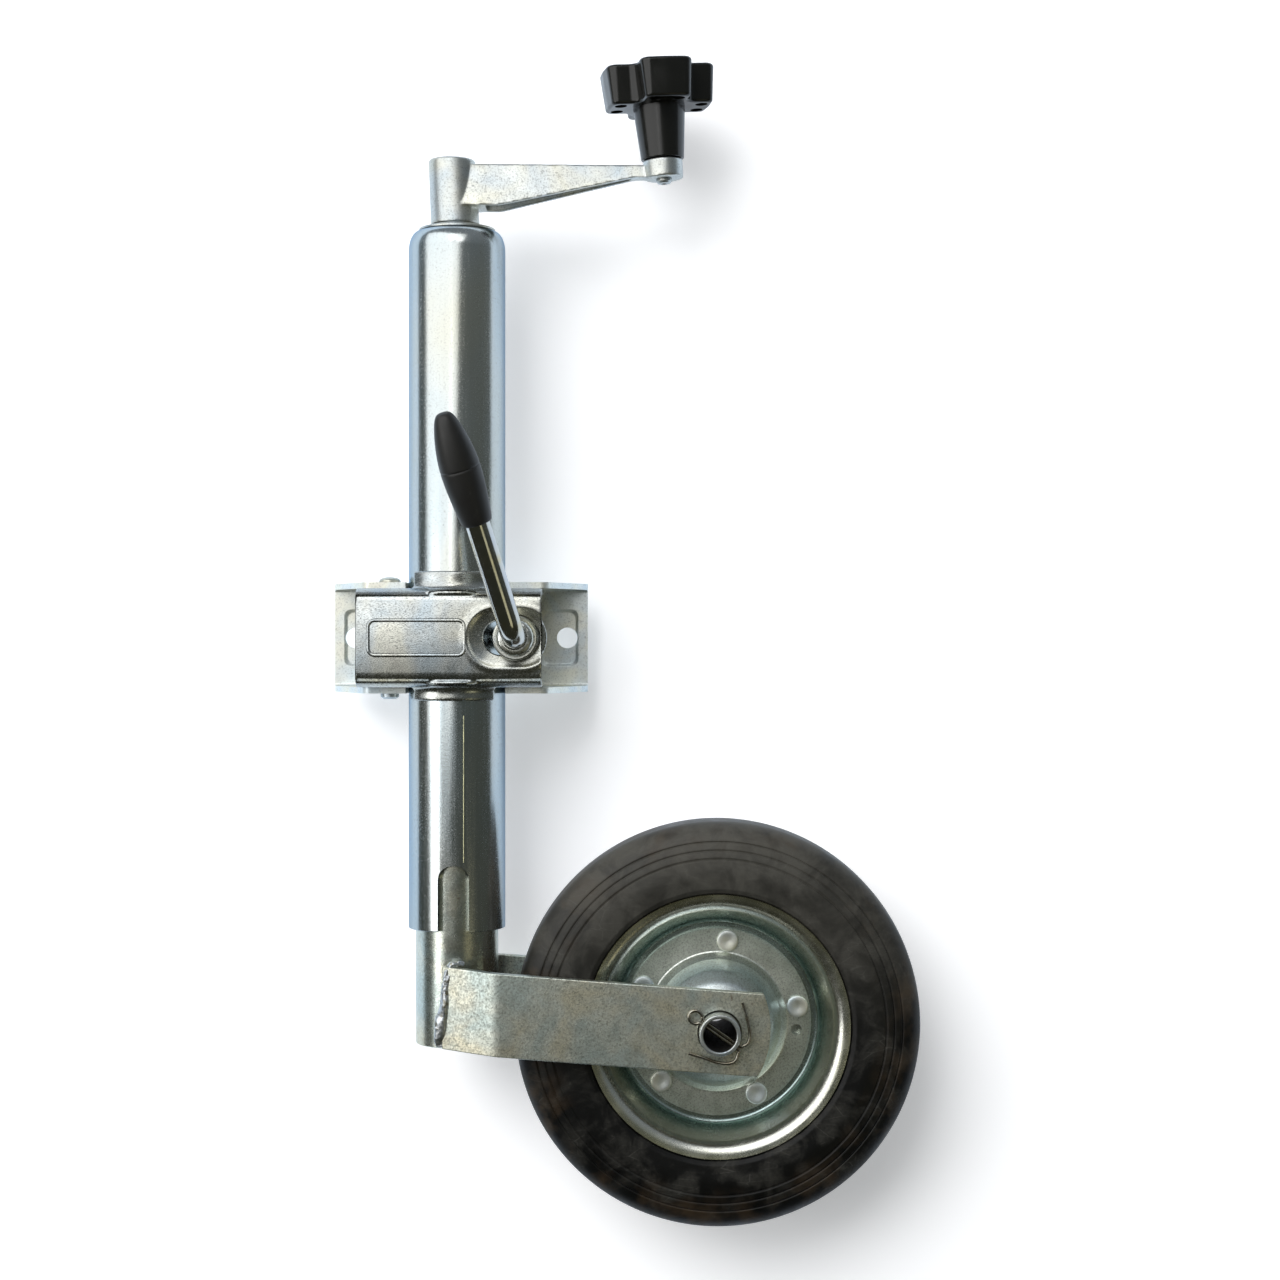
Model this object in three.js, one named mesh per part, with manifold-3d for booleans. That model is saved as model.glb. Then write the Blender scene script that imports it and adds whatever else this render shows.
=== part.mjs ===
// Trailer tongue jack: a telescopic jack tube held in a lever clamp, with a cranked screw on top
// and a forked jockey wheel below. Millimetres, +Z up. The origin is the centre of the clamp's
// mounting face, +Y is that face's outward normal, and +X points towards the wheel.

import * as THREE from 'three';
import { mergeVertices } from 'three/addons/utils/BufferGeometryUtils.js';
import Module from 'manifold-3d';

const wasm = await Module();
wasm.setup();

// ---- Driving dimensions, measured from the tube axis and the clamp's mid height ----

const GAP = 0.3; // clearance between neighbouring pieces
const AXIS_DEPTH = 31; // tube axis to mounting face
const TUBE_SIDES = 32;
const SMALL_SIDES = 20;
const WHEEL_SIDES = 28;
const PIN_SIDES = 12;
const THROUGH = 50; // half length of a through cutter, beyond every piece it cuts

const outer = { r: 24, bore: 21, bottom: -144, shoulder: 192.5, top: 202, round: 5, lipBore: 16 };
const notch = { half: 7.65, top: -111.6, corner: 6.5 };
const inner = { r: 20.5, bore: 18, bottom: -201.3, top: 118.7 };
const bush = { bore: 8.4, bottom: 178.3 };
const bearing = { bore: 8.4, r: 17, race: 3.7, ballR: 3, pitchR: 13, middle: 171, balls: 8 };
const spindle = { r: 9, bottom: -75, flange: 158, flangeR: 15, journalR: 8, top: 236.5 };
const nut = { r: 17.6, bore: 9.3, bottom: 96, top: 118 };
const cap = { r: 19, crownR: 12.5, bottom: 202.4, edge: 1, top: 205.4 };

const hub = { bottom: 205.7, top: 238, bottomR: 12.1, topR: 11.6, bore: 8.3, bottomX: -0.9, topX: -2.6 };
const arm = { length: 102, top: 235, root: 214, tip: 228.6, rootHalf: 11.5, tipHalf: 7.2, wall: 3 };
const armSlope = { from: 22, to: 88.4 }; // where the underside rises from root to tip
const armDraft = 0.2; // how much the arm's sides lean in, per millimetre of height
const armPocket = { from: 15, to: 87 };
const boss = { r: 9.8, top: 238, bore: 3.5 };
const knobAxis = { x: 102.8, z: 233, lean: 4 }; // the knob leans back towards the hub
const crossPin = { r: 2.5, z: 214, front: -7.6, back: 11.4 };
const knobPin = { r: 3.2, headR: 4.3, bottom: 226.2, top: 275.6, roomTop: 276 };
const knob = { stem: 238.3, head: 264.1, top: 283.5, stemR: 10.7, neckR: 13, bore: 3.5, edge: 1.6 };
const knobTaper = 0.05; // how much smaller the lobes are at their lower end
const lobes = { count: 4, turn: 11, reach: 27.6, half: 13, cornerR: 5.5, valleyR: 4 };

const bracket = { half: 64.5, high: 27.5, sheet: 3, web: 3.5, front: -12, shoulder: 45, slot: 24.6 };
const boltHole = { r: 5.25, x: 54 };
const pad = { from: 40, to: 59.5, high: 14.3, depth: 1.2 };
const hinge = { x: -33.5, r: 4, hole: 4.3, headR: 5.4, peenR: 4.6, head: 2.6 };
const jaw = { left: -47.2, right: 43.3, web: -31, sheet: 3, high: 24.2, back: 8, bend: 7 };
const collar = { r: 24.6, thick: 2.8, spread: 46, top: 32.6, bottom: -30.8 };
const slot = { high: 8.4, from: 23.3, to: 34 };
const lever = { x: 30.7, r: 5.8, bore: 6.1, end: 25.5, corner: -47, bend: 12, length: 100 };
const leverWay = new THREE.Vector3(-0.2693, -0.3173, 0.9092).normalize();
const dish = { r: 40, y: -68.8, mouthR: 16, padR: 15.2, pad: -26.2 };
const leverWasher = { r: 11, bore: 6.4, top: -34 };
const leverCollar = { r: 9, thick: 4.2 };
const clampNut = { flats: 19, thick: 9.2 };
const grip = { from: 59.5, to: 114.5 };

const wheel = { x: 129.5, z: -190.5, r: 100.5 };
const fork = { sheet: 5, inside: 32, tubeClear: 20.8, flare: 23, half: 20.1, tilt: 4.3, left: -3.5 };
const forkNose = { corner: 20, reach: 24.7 };
const axle = { r: 10, bore: 8, half: 46, pinAt: 41.5, pinHole: 1.9, hole: 10.6 };
const cotter = { shankR: 1.5, wireR: 0.8, slope: 35, eyeAt: -14, eyeR: 3.1, from: -11.5, to: 11.6 };
const axleWasher = { r: 15, bore: 10.4, from: 30.3, to: 31.7 };
const sleeve = { r: 13.1, bore: 10.35, half: 30 };
const rivet = { count: 5, at: 40.5, firstAngle: 10.7, r: 3, hole: 3.3, headR: 5.2, head: 1.8 };
const drain = { r: 2.7, at: 39.5, angle: -5.9 };
const rimSheet = 1.8;
const discSheet = 2;
const discFace = 3.25; // mid sheet of the hub disc's flat rim, from the wheel's mid plane

const zinc = { color: 0xb9bfc2, roughness: 0.34, metalness: 0.9 };
const dullZinc = { color: 0x9a9c90, roughness: 0.5, metalness: 0.85 };
const steel = { color: 0x8c8f90, roughness: 0.3, metalness: 0.9 };
const plastic = { color: 0x1b1c1d, roughness: 0.45, metalness: 0 };
const rubber = { color: 0x26272a, roughness: 0.8, metalness: 0 };
const bronze = { color: 0x8a5a3c, roughness: 0.6, metalness: 0.5 };

// ---- Outlines ----

function degrees(angle) {
  return THREE.MathUtils.degToRad(angle);
}

// Points of an elliptical arc, angles in degrees.
function arc(x, y, rx, ry, from, to, steps) {
  return Array.from({ length: steps + 1 }, (_, i) => {
    const angle = degrees(from + ((to - from) * i) / steps);
    return [x + rx * Math.cos(angle), y + ry * Math.sin(angle)];
  });
}

// A polygon whose corners [x, y, radius] are rounded where a radius is given.
function rounded(corners, steps = 4) {
  return corners.flatMap(([x, y, r = 0], i) => {
    if (r === 0) return [[x, y]];
    const [px, py] = corners.at(i - 1);
    const [nx, ny] = corners[(i + 1) % corners.length];
    const back = new THREE.Vector2(px - x, py - y).normalize();
    const ahead = new THREE.Vector2(nx - x, ny - y).normalize();
    const half = back.angleTo(ahead) / 2;
    const middle = back.clone().add(ahead).setLength(r / Math.sin(half));
    const turn = Math.sign(ahead.cross(back)) * (180 - (2 * half * 180) / Math.PI);
    const enter = back.clone().setLength(r / Math.tan(half)).sub(middle);
    const start = (enter.angle() * 180) / Math.PI;
    return arc(x + middle.x, y + middle.y, r, r, start, start + turn, steps);
  });
}

// The closed outline of a sheet of the given thickness, from its mid line.
function sheetOutline(midLine, thickness) {
  const sides = midLine.map(([x, y], i) => {
    const [ax, ay] = midLine[Math.max(i - 1, 0)];
    const [bx, by] = midLine[Math.min(i + 1, midLine.length - 1)];
    const before = new THREE.Vector2(x - ax, y - ay).normalize();
    const after = new THREE.Vector2(bx - x, by - y).normalize();
    const along = before.add(after).normalize();
    const half = thickness / 2;
    return [[x - along.y * half, y + along.x * half], [x + along.y * half, y - along.x * half]];
  });
  return [...sides.map(([left]) => left), ...sides.map(([, right]) => right).reverse()];
}

function circle(x, y, r, sides) {
  return arc(x, y, r, r, 0, 360 - 360 / sides, sides - 1);
}

// ---- Solids ----

function solidOf(geometry) {
  const bare = geometry.clone();
  bare.deleteAttribute('normal');
  bare.deleteAttribute('uv');
  const merged = mergeVertices(bare, 1e-4);
  const vertProperties = merged.attributes.position.array;
  const corners = merged.index.array;
  const at = (index) => new THREE.Vector3().fromArray(vertProperties, 3 * index);
  const kept = [];
  let volume = 0;
  for (let i = 0; i < corners.length; i += 3) {
    const [a, b, c] = corners.subarray(i, i + 3);
    if (a !== b && b !== c && c !== a) {
      kept.push(a, b, c);
      volume += at(a).dot(at(b).cross(at(c)));
    }
  }
  if (volume < 0) kept.reverse();
  const triVerts = new Uint32Array(kept);
  return new wasm.Manifold(new wasm.Mesh({ numProp: 3, vertProperties, triVerts }));
}

function latheOf(profile, sides) {
  const onAxis = profile[0][0] === 0 && profile.at(-1)[0] === 0;
  const closed = onAxis ? profile : [...profile, profile[0]];
  return new THREE.LatheGeometry(closed.map(([r, z]) => new THREE.Vector2(r, z)), sides);
}

// A turned solid about the Z axis through (x, 0), from points [radius, z].
function turned(profile, sides = SMALL_SIDES, x = 0) {
  return solidOf(latheOf(profile, sides).rotateX(Math.PI / 2).translate(x, 0, 0));
}

// A turned solid about the Y axis, from points [radius, y].
function spun(profile, sides = WHEEL_SIDES) {
  return solidOf(latheOf(profile, sides));
}

function extrusion(points, length) {
  const shape = new THREE.Shape(points.map(([x, y]) => new THREE.Vector2(x, y)));
  return new THREE.ExtrudeGeometry(shape, { depth: length, bevelEnabled: false });
}

// Plates: an outline in two axes, standing between two values of the third.
function plateXY(points, from, to) {
  return solidOf(extrusion(points, to - from).translate(0, 0, from));
}

function plateXZ(points, from, to) {
  return solidOf(extrusion(points, to - from).rotateX(Math.PI / 2).translate(0, to, 0));
}

function plateYZ(points, from, to) {
  const axes = [new THREE.Vector3(0, 1, 0), new THREE.Vector3(0, 0, 1), new THREE.Vector3(1, 0, 0)];
  const turn = new THREE.Matrix4().makeBasis(...axes);
  return solidOf(extrusion(points, to - from).applyMatrix4(turn).translate(from, 0, 0));
}

function rectangle(left, right, low, high) {
  return [[left, low], [right, low], [right, high], [left, high]];
}

function mirroredY(points) {
  return points.map(([x, y]) => [x, -y]);
}

// A round wire or rod along a curve.
function rodAlong(path, r, steps, sides) {
  const shape = new THREE.Shape(circle(0, 0, r, sides).map(([x, y]) => new THREE.Vector2(x, y)));
  return solidOf(new THREE.ExtrudeGeometry(shape, { steps, extrudePath: path }));
}

function geometryOf(solid) {
  const { vertProperties, triVerts } = solid.getMesh();
  const geometry = new THREE.BufferGeometry();
  geometry.setAttribute('position', new THREE.BufferAttribute(vertProperties, 3));
  geometry.setIndex(new THREE.BufferAttribute(triVerts, 1));
  geometry.computeVertexNormals();
  return geometry;
}

function piece(name, solid, finish) {
  const mesh = new THREE.Mesh(geometryOf(solid), new THREE.MeshStandardMaterial(finish));
  mesh.name = name;
  return mesh;
}

// ---- Jack tube and screw ----

function outerTube() {
  const { round } = outer;
  const lining = round / 2;
  const wall = turned([
    [outer.r, outer.bottom],
    ...arc(outer.r - round, outer.shoulder, round, outer.top - outer.shoulder, 0, 90, 4),
    [outer.lipBore, outer.top],
    ...arc(outer.bore - round, outer.shoulder - 1, round, round + lining, 90, 0, 3),
    [outer.bore, outer.bottom],
  ], TUBE_SIDES);
  const opening = rounded([
    [-notch.half, outer.bottom - 2],
    [notch.half, outer.bottom - 2],
    [notch.half, notch.top, notch.corner],
    [-notch.half, notch.top, notch.corner],
  ]);
  return wall.subtract(plateXZ(opening, -outer.r - 2, outer.r + 2));
}

function topBush() {
  const r = outer.bore - GAP;
  const neckR = r - outer.round;
  const top = outer.top - GAP;
  return turned([
    [bush.bore, bush.bottom],
    [r, bush.bottom],
    ...arc(neckR, outer.shoulder - 1 - GAP, outer.round, 7.2, 0, 90, 3),
    [neckR, top],
    [bush.bore, top],
  ]);
}

function race(bottom) {
  return turned(rectangle(bearing.bore, bearing.r, bottom, bottom + bearing.race));
}

function ballCage() {
  const { ballR, pitchR, middle, balls } = bearing;
  const web = ballR / 2;
  let cage = turned(rectangle(pitchR - web, pitchR + web, middle - web, middle + web));
  for (let i = 0; i < balls; i += 1) {
    const angle = (2 * Math.PI * i) / balls;
    const ball = new THREE.SphereGeometry(ballR, 6, 5);
    ball.rotateX(Math.PI / 2);
    ball.translate(pitchR * Math.cos(angle), pitchR * Math.sin(angle), middle);
    cage = cage.add(solidOf(ball));
  }
  return cage;
}

function crossRound(r, from, to) {
  return plateXZ(circle(0, crossPin.z, r, PIN_SIDES), from, to);
}

function screwSpindle() {
  const { r, bottom, flange, flangeR, journalR, top } = spindle;
  const shoulder = bearing.middle - bearing.ballR - 2 * GAP - bearing.race;
  const shaft = turned([
    [0, bottom],
    [r - 1.5, bottom],
    [r, bottom + 1.5],
    [r, flange],
    [flangeR, flange],
    [flangeR, shoulder],
    [journalR, shoulder],
    [journalR, top - 1],
    [journalR - 1, top],
    [0, top],
  ]);
  return shaft.subtract(crossRound(crossPin.r + GAP, -r - 1, r + 1));
}

function spindleNut() {
  return turned(rectangle(nut.bore, nut.r, nut.bottom, nut.top), TUBE_SIDES);
}

function innerTube() {
  return turned(rectangle(inner.bore, inner.r, inner.bottom, inner.top), TUBE_SIDES);
}

function dustCap() {
  return turned([
    [bush.bore, cap.bottom],
    [cap.r, cap.bottom],
    [cap.r, cap.bottom + cap.edge],
    [cap.crownR, cap.top],
    [bush.bore, cap.top],
  ]);
}

// ---- Crank ----

// A block along the arm, narrowing towards the knob and upwards, drawn in by an inset.
function armBlock(inset, from, to, bottom, top) {
  const geometry = new THREE.BoxGeometry(to - from, 2, top - bottom);
  geometry.translate((from + to) / 2, 0, (bottom + top) / 2);
  const { position } = geometry.attributes;
  for (let i = 0; i < position.count; i += 1) {
    const along = position.getX(i) / arm.length;
    const lean = (position.getZ(i) - arm.root) * armDraft;
    const half = THREE.MathUtils.lerp(arm.rootHalf, arm.tipHalf, along) - lean - inset;
    position.setY(i, Math.sign(position.getY(i)) * half);
  }
  return solidOf(geometry);
}

// A cone about the spindle that leans away from the arm.
function crankHub() {
  const wall = [[0, hub.bottom], [hub.bottomR, hub.bottom], [hub.topR, hub.top], [0, hub.top]];
  const slant = (hub.topX - hub.bottomX) / (hub.top - hub.bottom);
  const cone = latheOf(wall, SMALL_SIDES).rotateX(Math.PI / 2);
  cone.applyMatrix4(new THREE.Matrix4().makeShear(0, 0, 0, 0, slant, 0));
  return solidOf(cone.translate(hub.bottomX - slant * hub.bottom, 0, 0));
}

// Moves a shape made about the Z axis onto the knob's own axis.
function knobFrame() {
  const leaning = new THREE.Matrix4().makeRotationY(degrees(-knobAxis.lean));
  const frame = new THREE.Matrix4().makeTranslation(knobAxis.x, 0, knobAxis.z);
  return frame.multiply(leaning).multiply(new THREE.Matrix4().makeTranslation(0, 0, -knobAxis.z));
}

function bossRound(r, from, to, sides) {
  const upright = extrusion(circle(0, 0, r, sides), to - from).translate(0, 0, from);
  return solidOf(upright.applyMatrix4(knobFrame()));
}

function crankArm() {
  const bar = plateXZ([
    [0, arm.root],
    [armSlope.from, arm.root],
    [armSlope.to, arm.tip],
    [arm.length, arm.tip],
    [arm.length, arm.top],
    [0, arm.top],
  ], -THROUGH, THROUGH).intersect(armBlock(0, 0, arm.length, hub.bottom, hub.top));
  const end = bossRound(boss.r, arm.tip, boss.top, SMALL_SIDES);
  const pocket = armBlock(arm.wall, armPocket.from, armPocket.to, hub.bottom, arm.top - arm.wall);
  const bore = plateXY(circle(0, 0, hub.bore, SMALL_SIDES), hub.bottom - 1, hub.top + 1);
  const pinBore = bossRound(boss.bore, hub.bottom, boss.top + 1, PIN_SIDES);
  const arms = crankHub().add(bar).add(end);
  const holes = pocket.add(bore).add(pinBore).add(crossRound(crossPin.r + GAP, 0, hub.bottomR + 3));
  return arms.subtract(holes);
}

function crankPin() {
  return crossRound(crossPin.r, crossPin.front, crossPin.back);
}

function pivotPin() {
  return turned([
    [0, knobPin.bottom],
    [knobPin.headR - 1.2, knobPin.bottom],
    [knobPin.headR, knobPin.bottom + 1],
    [knobPin.headR, arm.tip - GAP],
    [knobPin.r, arm.tip - GAP],
    [knobPin.r, knobPin.top],
    [0, knobPin.top],
  ], PIN_SIDES);
}

// A cross of blunt lobes with rounded corners and valleys.
function knobOutline() {
  const { count, turn, reach, half, cornerR, valleyR } = lobes;
  const corners = [];
  for (let i = 0; i < count; i += 1) {
    const angle = degrees(turn + (360 / count) * i);
    const place = (x, y, r) => {
      const { x: u, y: v } = new THREE.Vector2(x, y).rotateAround(new THREE.Vector2(), angle);
      corners.push([u, v, r]);
    };
    place(reach, -half, cornerR);
    place(reach, half, cornerR);
    place(half, half, valleyR);
  }
  return rounded(corners);
}

function crankKnob() {
  const { edge } = knob;
  const outline = new THREE.Shape(knobOutline().map(([x, y]) => new THREE.Vector2(x, y)));
  const head = new THREE.ExtrudeGeometry(outline, {
    depth: knob.top - knob.head - 2 * edge,
    bevelThickness: edge,
    bevelSize: edge,
    bevelOffset: -edge,
    bevelSegments: 1,
  });
  head.translate(0, 0, knob.head + edge);
  const { position } = head.attributes;
  for (let i = 0; i < position.count; i += 1) {
    const drop = (knob.top - position.getZ(i)) / (knob.top - knob.head);
    const size = 1 - knobTaper * drop;
    position.setXY(i, position.getX(i) * size, position.getY(i) * size);
  }
  const neck = knob.head + 4;
  const stem = turned([[0, knob.stem], [knob.stemR, knob.stem], [knob.neckR, neck], [0, neck]]);
  const bore = plateXY(circle(0, 0, knob.bore, PIN_SIDES), knob.stem - 1, knobPin.roomTop);
  return solidOf(head).add(stem).subtract(bore);
}

// ---- Clamp ----

// The tube's way in: a half round about the axis, open to the front.
function tubeOpening(r, front) {
  return [...arc(0, 0, r, r, 0, 180, 16), [-r, front], [r, front]];
}

function hingeHoles() {
  return plateXY(circle(hinge.x, 0, hinge.hole, PIN_SIDES), -THROUGH, THROUGH);
}

function clampBracket() {
  const { half, high, sheet, web, front, shoulder } = bracket;
  const webFront = AXIS_DEPTH - web;
  const plan = [
    [-half, AXIS_DEPTH],
    [-half, webFront],
    [-shoulder, front, 4],
    [shoulder, front, 4],
    [half, webFront],
    [half, AXIS_DEPTH],
  ];
  const channel = plateXY(rounded(plan), -high, high);
  const room = rectangle(front - 2, webFront, sheet - high, high - sheet);
  const hollow = plateYZ(room, -half - 2, half + 2);
  const tubeWay = plateXY(tubeOpening(bracket.slot, front - 2), -THROUGH, THROUGH);
  let solid = channel.subtract(hollow).subtract(tubeWay).subtract(hingeHoles());
  for (const side of [-1, 1]) {
    const left = Math.min(side * pad.from, side * pad.to);
    const right = Math.max(side * pad.from, side * pad.to);
    const recess = rectangle(left, right, -pad.high, pad.high).map(([x, z]) => [x, z, 3]);
    solid = solid.subtract(plateXZ(rounded(recess), webFront - 1, webFront + pad.depth));
    const hole = circle(side * boltHole.x, 0, boltHole.r, 16);
    solid = solid.subtract(plateXZ(hole, webFront - 1, AXIS_DEPTH + 1));
  }
  return solid;
}

// Half of the tube's collar: a ring sector about the front of the tube.
function collarPlan() {
  const { r, thick, spread } = collar;
  const inside = arc(0, 0, r, r, -90 - spread, -90 + spread, 8);
  const outside = arc(0, 0, r + thick, r + thick, -90 + spread, -90 - spread, 8);
  return [...inside, ...outside];
}

function clampJaw() {
  const { left, right, web, sheet, high, back, bend } = jaw;
  const inside = high - sheet;
  const section = rounded([
    [back, high],
    [web, high, bend],
    [web, -high, bend],
    [back, -high],
    [back, -inside],
    [web + sheet, -inside, bend - sheet],
    [web + sheet, inside, bend - sheet],
    [back, inside],
  ]);
  const dishAt = (radius) => [radius, dish.y + Math.sqrt(dish.r ** 2 - radius ** 2)];
  const { mouthR } = dish;
  const mouth = [[0, web - 5], [mouthR, web - 5], dishAt(mouthR), dishAt(mouthR / 2), dishAt(0)];
  const dishCut = latheOf(mouth, SMALL_SIDES);
  const backing = plateXZ(circle(lever.x, 0, dish.padR, SMALL_SIDES), web + 1, dish.pad);
  const way = [
    ...arc(slot.to, 0, slot.high, slot.high, -90, 90, 8),
    ...arc(slot.from, 0, slot.high, slot.high, 90, 270, 8),
  ];
  const tubeWay = plateXY(circle(0, 0, collar.r, TUBE_SIDES), -THROUGH, THROUGH);
  const behind = plateXY(rectangle(-collar.r, collar.r, 0, THROUGH), -THROUGH, THROUGH);
  return plateYZ(section, left, right)
    .add(plateXY(collarPlan(), inside, collar.top))
    .add(plateXY(collarPlan(), collar.bottom, -inside))
    .add(backing)
    .subtract(solidOf(dishCut.translate(lever.x, 0, 0)))
    .subtract(plateXZ(way, web - 5, dish.pad + 2))
    .subtract(tubeWay)
    .subtract(behind)
    .subtract(hingeHoles());
}

function clampHingePin() {
  const { r, headR, peenR, head } = hinge;
  const under = -bracket.high - GAP;
  const over = bracket.high + GAP;
  return turned([
    [0, under - head],
    [peenR - 1.2, under - head],
    [peenR, under - 1.4],
    [peenR, under],
    [r, under],
    [r, over],
    [headR, over],
    [headR, over + 0.6],
    [headR * 0.75, over + 2],
    [headR * 0.35, over + head],
    [0, over + head],
  ], PIN_SIDES, hinge.x);
}

function clampWeldNut() {
  const hexagon = circle(lever.x, 0, clampNut.flats / Math.sqrt(3), 6);
  const back = AXIS_DEPTH - bracket.web - GAP;
  const bore = plateXZ(circle(lever.x, 0, lever.bore, SMALL_SIDES), 0, AXIS_DEPTH);
  return plateXZ(hexagon, back - clampNut.thick, back).subtract(bore);
}

// The pieces on the lever's axis are made about the lever's own axis, at x = 0.
function leverSeatWasher() {
  const { r, bore, top } = leverWasher;
  const seat = (radius) => dish.y - GAP + Math.sqrt(dish.r ** 2 - radius ** 2);
  const under = [r, (r + bore) / 2, bore].map((radius) => [radius, seat(radius)]);
  return spun([[bore, top], [r, top], ...under], SMALL_SIDES);
}

function leverStopCollar() {
  const back = leverWasher.top - GAP;
  const front = back - leverCollar.thick;
  return spun([
    [lever.bore, back],
    [leverCollar.r, back],
    [leverCollar.r, front + 1.4],
    [leverCollar.r - 1.4, front],
    [lever.bore, front],
  ], SMALL_SIDES);
}

function leverRod() {
  const start = new THREE.Vector3(0, lever.end, 0);
  const corner = new THREE.Vector3(0, lever.corner, 0);
  const inWay = new THREE.Vector3(0, -1, 0);
  const turn = inWay.angleTo(leverWay);
  const reach = lever.bend * Math.tan(turn / 2);
  const handle = (4 / 3) * Math.tan(turn / 4) * lever.bend;
  const bendStart = corner.clone().addScaledVector(inWay, -reach);
  const bendEnd = corner.clone().addScaledVector(leverWay, reach);
  const firstHandle = bendStart.clone().addScaledVector(inWay, handle);
  const lastHandle = bendEnd.clone().addScaledVector(leverWay, -handle);
  const path = new THREE.CurvePath();
  path.add(new THREE.LineCurve3(start, bendStart));
  path.add(new THREE.CubicBezierCurve3(bendStart, firstHandle, lastHandle, bendEnd));
  path.add(new THREE.LineCurve3(bendEnd, corner.clone().addScaledVector(leverWay, lever.length)));
  return rodAlong(path, lever.r, 30, 10);
}

// The grip is turned about its own Y axis, with y measured from the lever's corner.
function leverGrip() {
  const length = grip.to - grip.from;
  const girth = new THREE.SplineCurve([
    [2.4, length],
    [6, length - 5.6],
    [8.9, length - 16.8],
    [9.9, length - 28],
    [9.2, length - 39],
    [8, length - 50],
    [7.3, 0],
  ].map(([r, y]) => new THREE.Vector2(r, y + grip.from)));
  const outside = girth.getPoints(9).map(({ x, y }) => [x, y]);
  const boreTop = lever.length + 0.5;
  const inside = [[lever.bore, grip.from], [lever.bore, boreTop], [0, boreTop]];
  return spun([[0, grip.to], ...outside, ...inside], 14);
}

// ---- Fork, axle and wheel ----

// Plan of the front fork strip: welded tangent to the tube, flaring out, then straight.
function forkPlan() {
  const { sheet, inside, tubeClear, flare, left } = fork;
  const sin = Math.sin(degrees(flare));
  const cos = Math.cos(degrees(flare));
  const flared = (offset, x) => -(offset - sin * -x) / cos;
  const bendX = (offset, y) => (cos * y - offset) / sin;
  const outside = tubeClear + sheet;
  const right = wheel.x + forkNose.reach + 2;
  return [
    [left, flared(tubeClear, left)],
    [bendX(tubeClear, inside), -inside],
    [right, -inside],
    [right, -inside - sheet],
    [bendX(outside, inside + sheet), -inside - sheet],
    [left - sheet * sin, flared(outside, left - sheet * sin)],
  ];
}

// Side view of the fork strip: a sloping bar through the axle with a slightly bowed end.
function forkSide() {
  const { half, tilt } = fork;
  const { corner, reach } = forkNose;
  const bow = reach - corner;
  const bowR = (half ** 2 + bow ** 2) / (2 * bow);
  const spread = (Math.asin(half / bowR) * 180) / Math.PI;
  const end = arc(reach - bowR, 0, bowR, bowR, -spread, spread, 6);
  const slope = degrees(-tilt);
  const back = -wheel.x - THROUGH;
  return [[back, -half], ...end, [back, half]].map(([x, z]) => [
    wheel.x + x * Math.cos(slope) - z * Math.sin(slope),
    wheel.z + x * Math.sin(slope) + z * Math.cos(slope),
  ]);
}

function forkArm(plan) {
  const bar = plateXY(plan, wheel.z - THROUGH, wheel.z + THROUGH);
  const hole = plateXZ(circle(wheel.x, wheel.z, axle.hole, SMALL_SIDES), -THROUGH, THROUGH);
  return bar.intersect(plateXZ(forkSide(), -THROUGH, THROUGH)).subtract(hole);
}

function cotterHole(y) {
  const hole = new THREE.CylinderGeometry(axle.pinHole, axle.pinHole, 30, 8);
  return solidOf(hole.rotateZ(degrees(-90)).rotateY(degrees(cotter.slope)).translate(0, y, 0));
}

function axleTube() {
  const tube = spun(rectangle(axle.bore, axle.r, -axle.half, axle.half), SMALL_SIDES);
  const holes = cotterHole(-axle.pinAt).add(cotterHole(axle.pinAt));
  return tube.subtract(holes);
}

// A split pin with an eye and two legs that are bent back round the axle.
function splitPin() {
  const { shankR, wireR, slope, eyeAt, eyeR, from, to } = cotter;
  const shank = new THREE.CylinderGeometry(shankR, shankR, to - from, 8);
  shank.translate(0, (from + to) / 2, 0).rotateZ(degrees(-90)).rotateY(degrees(slope));
  const eye = new THREE.TorusGeometry(eyeR, wireR, 5, 10).rotateX(Math.PI / 2);
  const along = degrees(-slope);
  eye.translate(eyeAt * Math.cos(along), 0, eyeAt * Math.sin(along));
  const upperLeg = [[9.3, -6.1], [11.3, -5.9], [13.4, -4.2], [14.5, -1], [13.7, 4.7], [10.8, 15.3]];
  const lowerLeg = [
    [9, -6.9],
    [9.3, -9.2],
    [8, -12],
    [4.7, -14],
    [-1, -13.7],
    [-7.9, -11.3],
    [-15, -9.2],
  ];
  return [upperLeg, lowerLeg].reduce((pin, leg) => {
    const path = new THREE.CatmullRomCurve3(leg.map(([x, z]) => new THREE.Vector3(x, 0, z)));
    return pin.add(rodAlong(path, wireR, 12, 5));
  }, solidOf(shank).add(solidOf(eye)));
}

function ring(washer) {
  return spun(rectangle(washer.bore, washer.r, washer.from, washer.to), SMALL_SIDES);
}

function solidTyre() {
  const tread = [
    [65.5, 21.6],
    [66.6, 22.8],
    [76, 23.8],
    [84, 22.8],
    [92, 20.3],
    [97.3, 17.4],
    [99.9, 12.5],
    [wheel.r, 0],
  ];
  const seat = [[65.3, 19.9], [60.6, 18.2], [58.55, 14], [55.75, 4.5], [54.5, 1.6]];
  const outside = [...tread, ...mirroredY(tread).reverse().slice(1)];
  const inside = [...mirroredY(seat), ...seat.reverse()];
  return spun([...outside, ...inside]);
}

function rivetPlace(i) {
  const angle = degrees(rivet.firstAngle + (360 / rivet.count) * i);
  return [rivet.at * Math.cos(angle), rivet.at * Math.sin(angle)];
}

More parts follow.
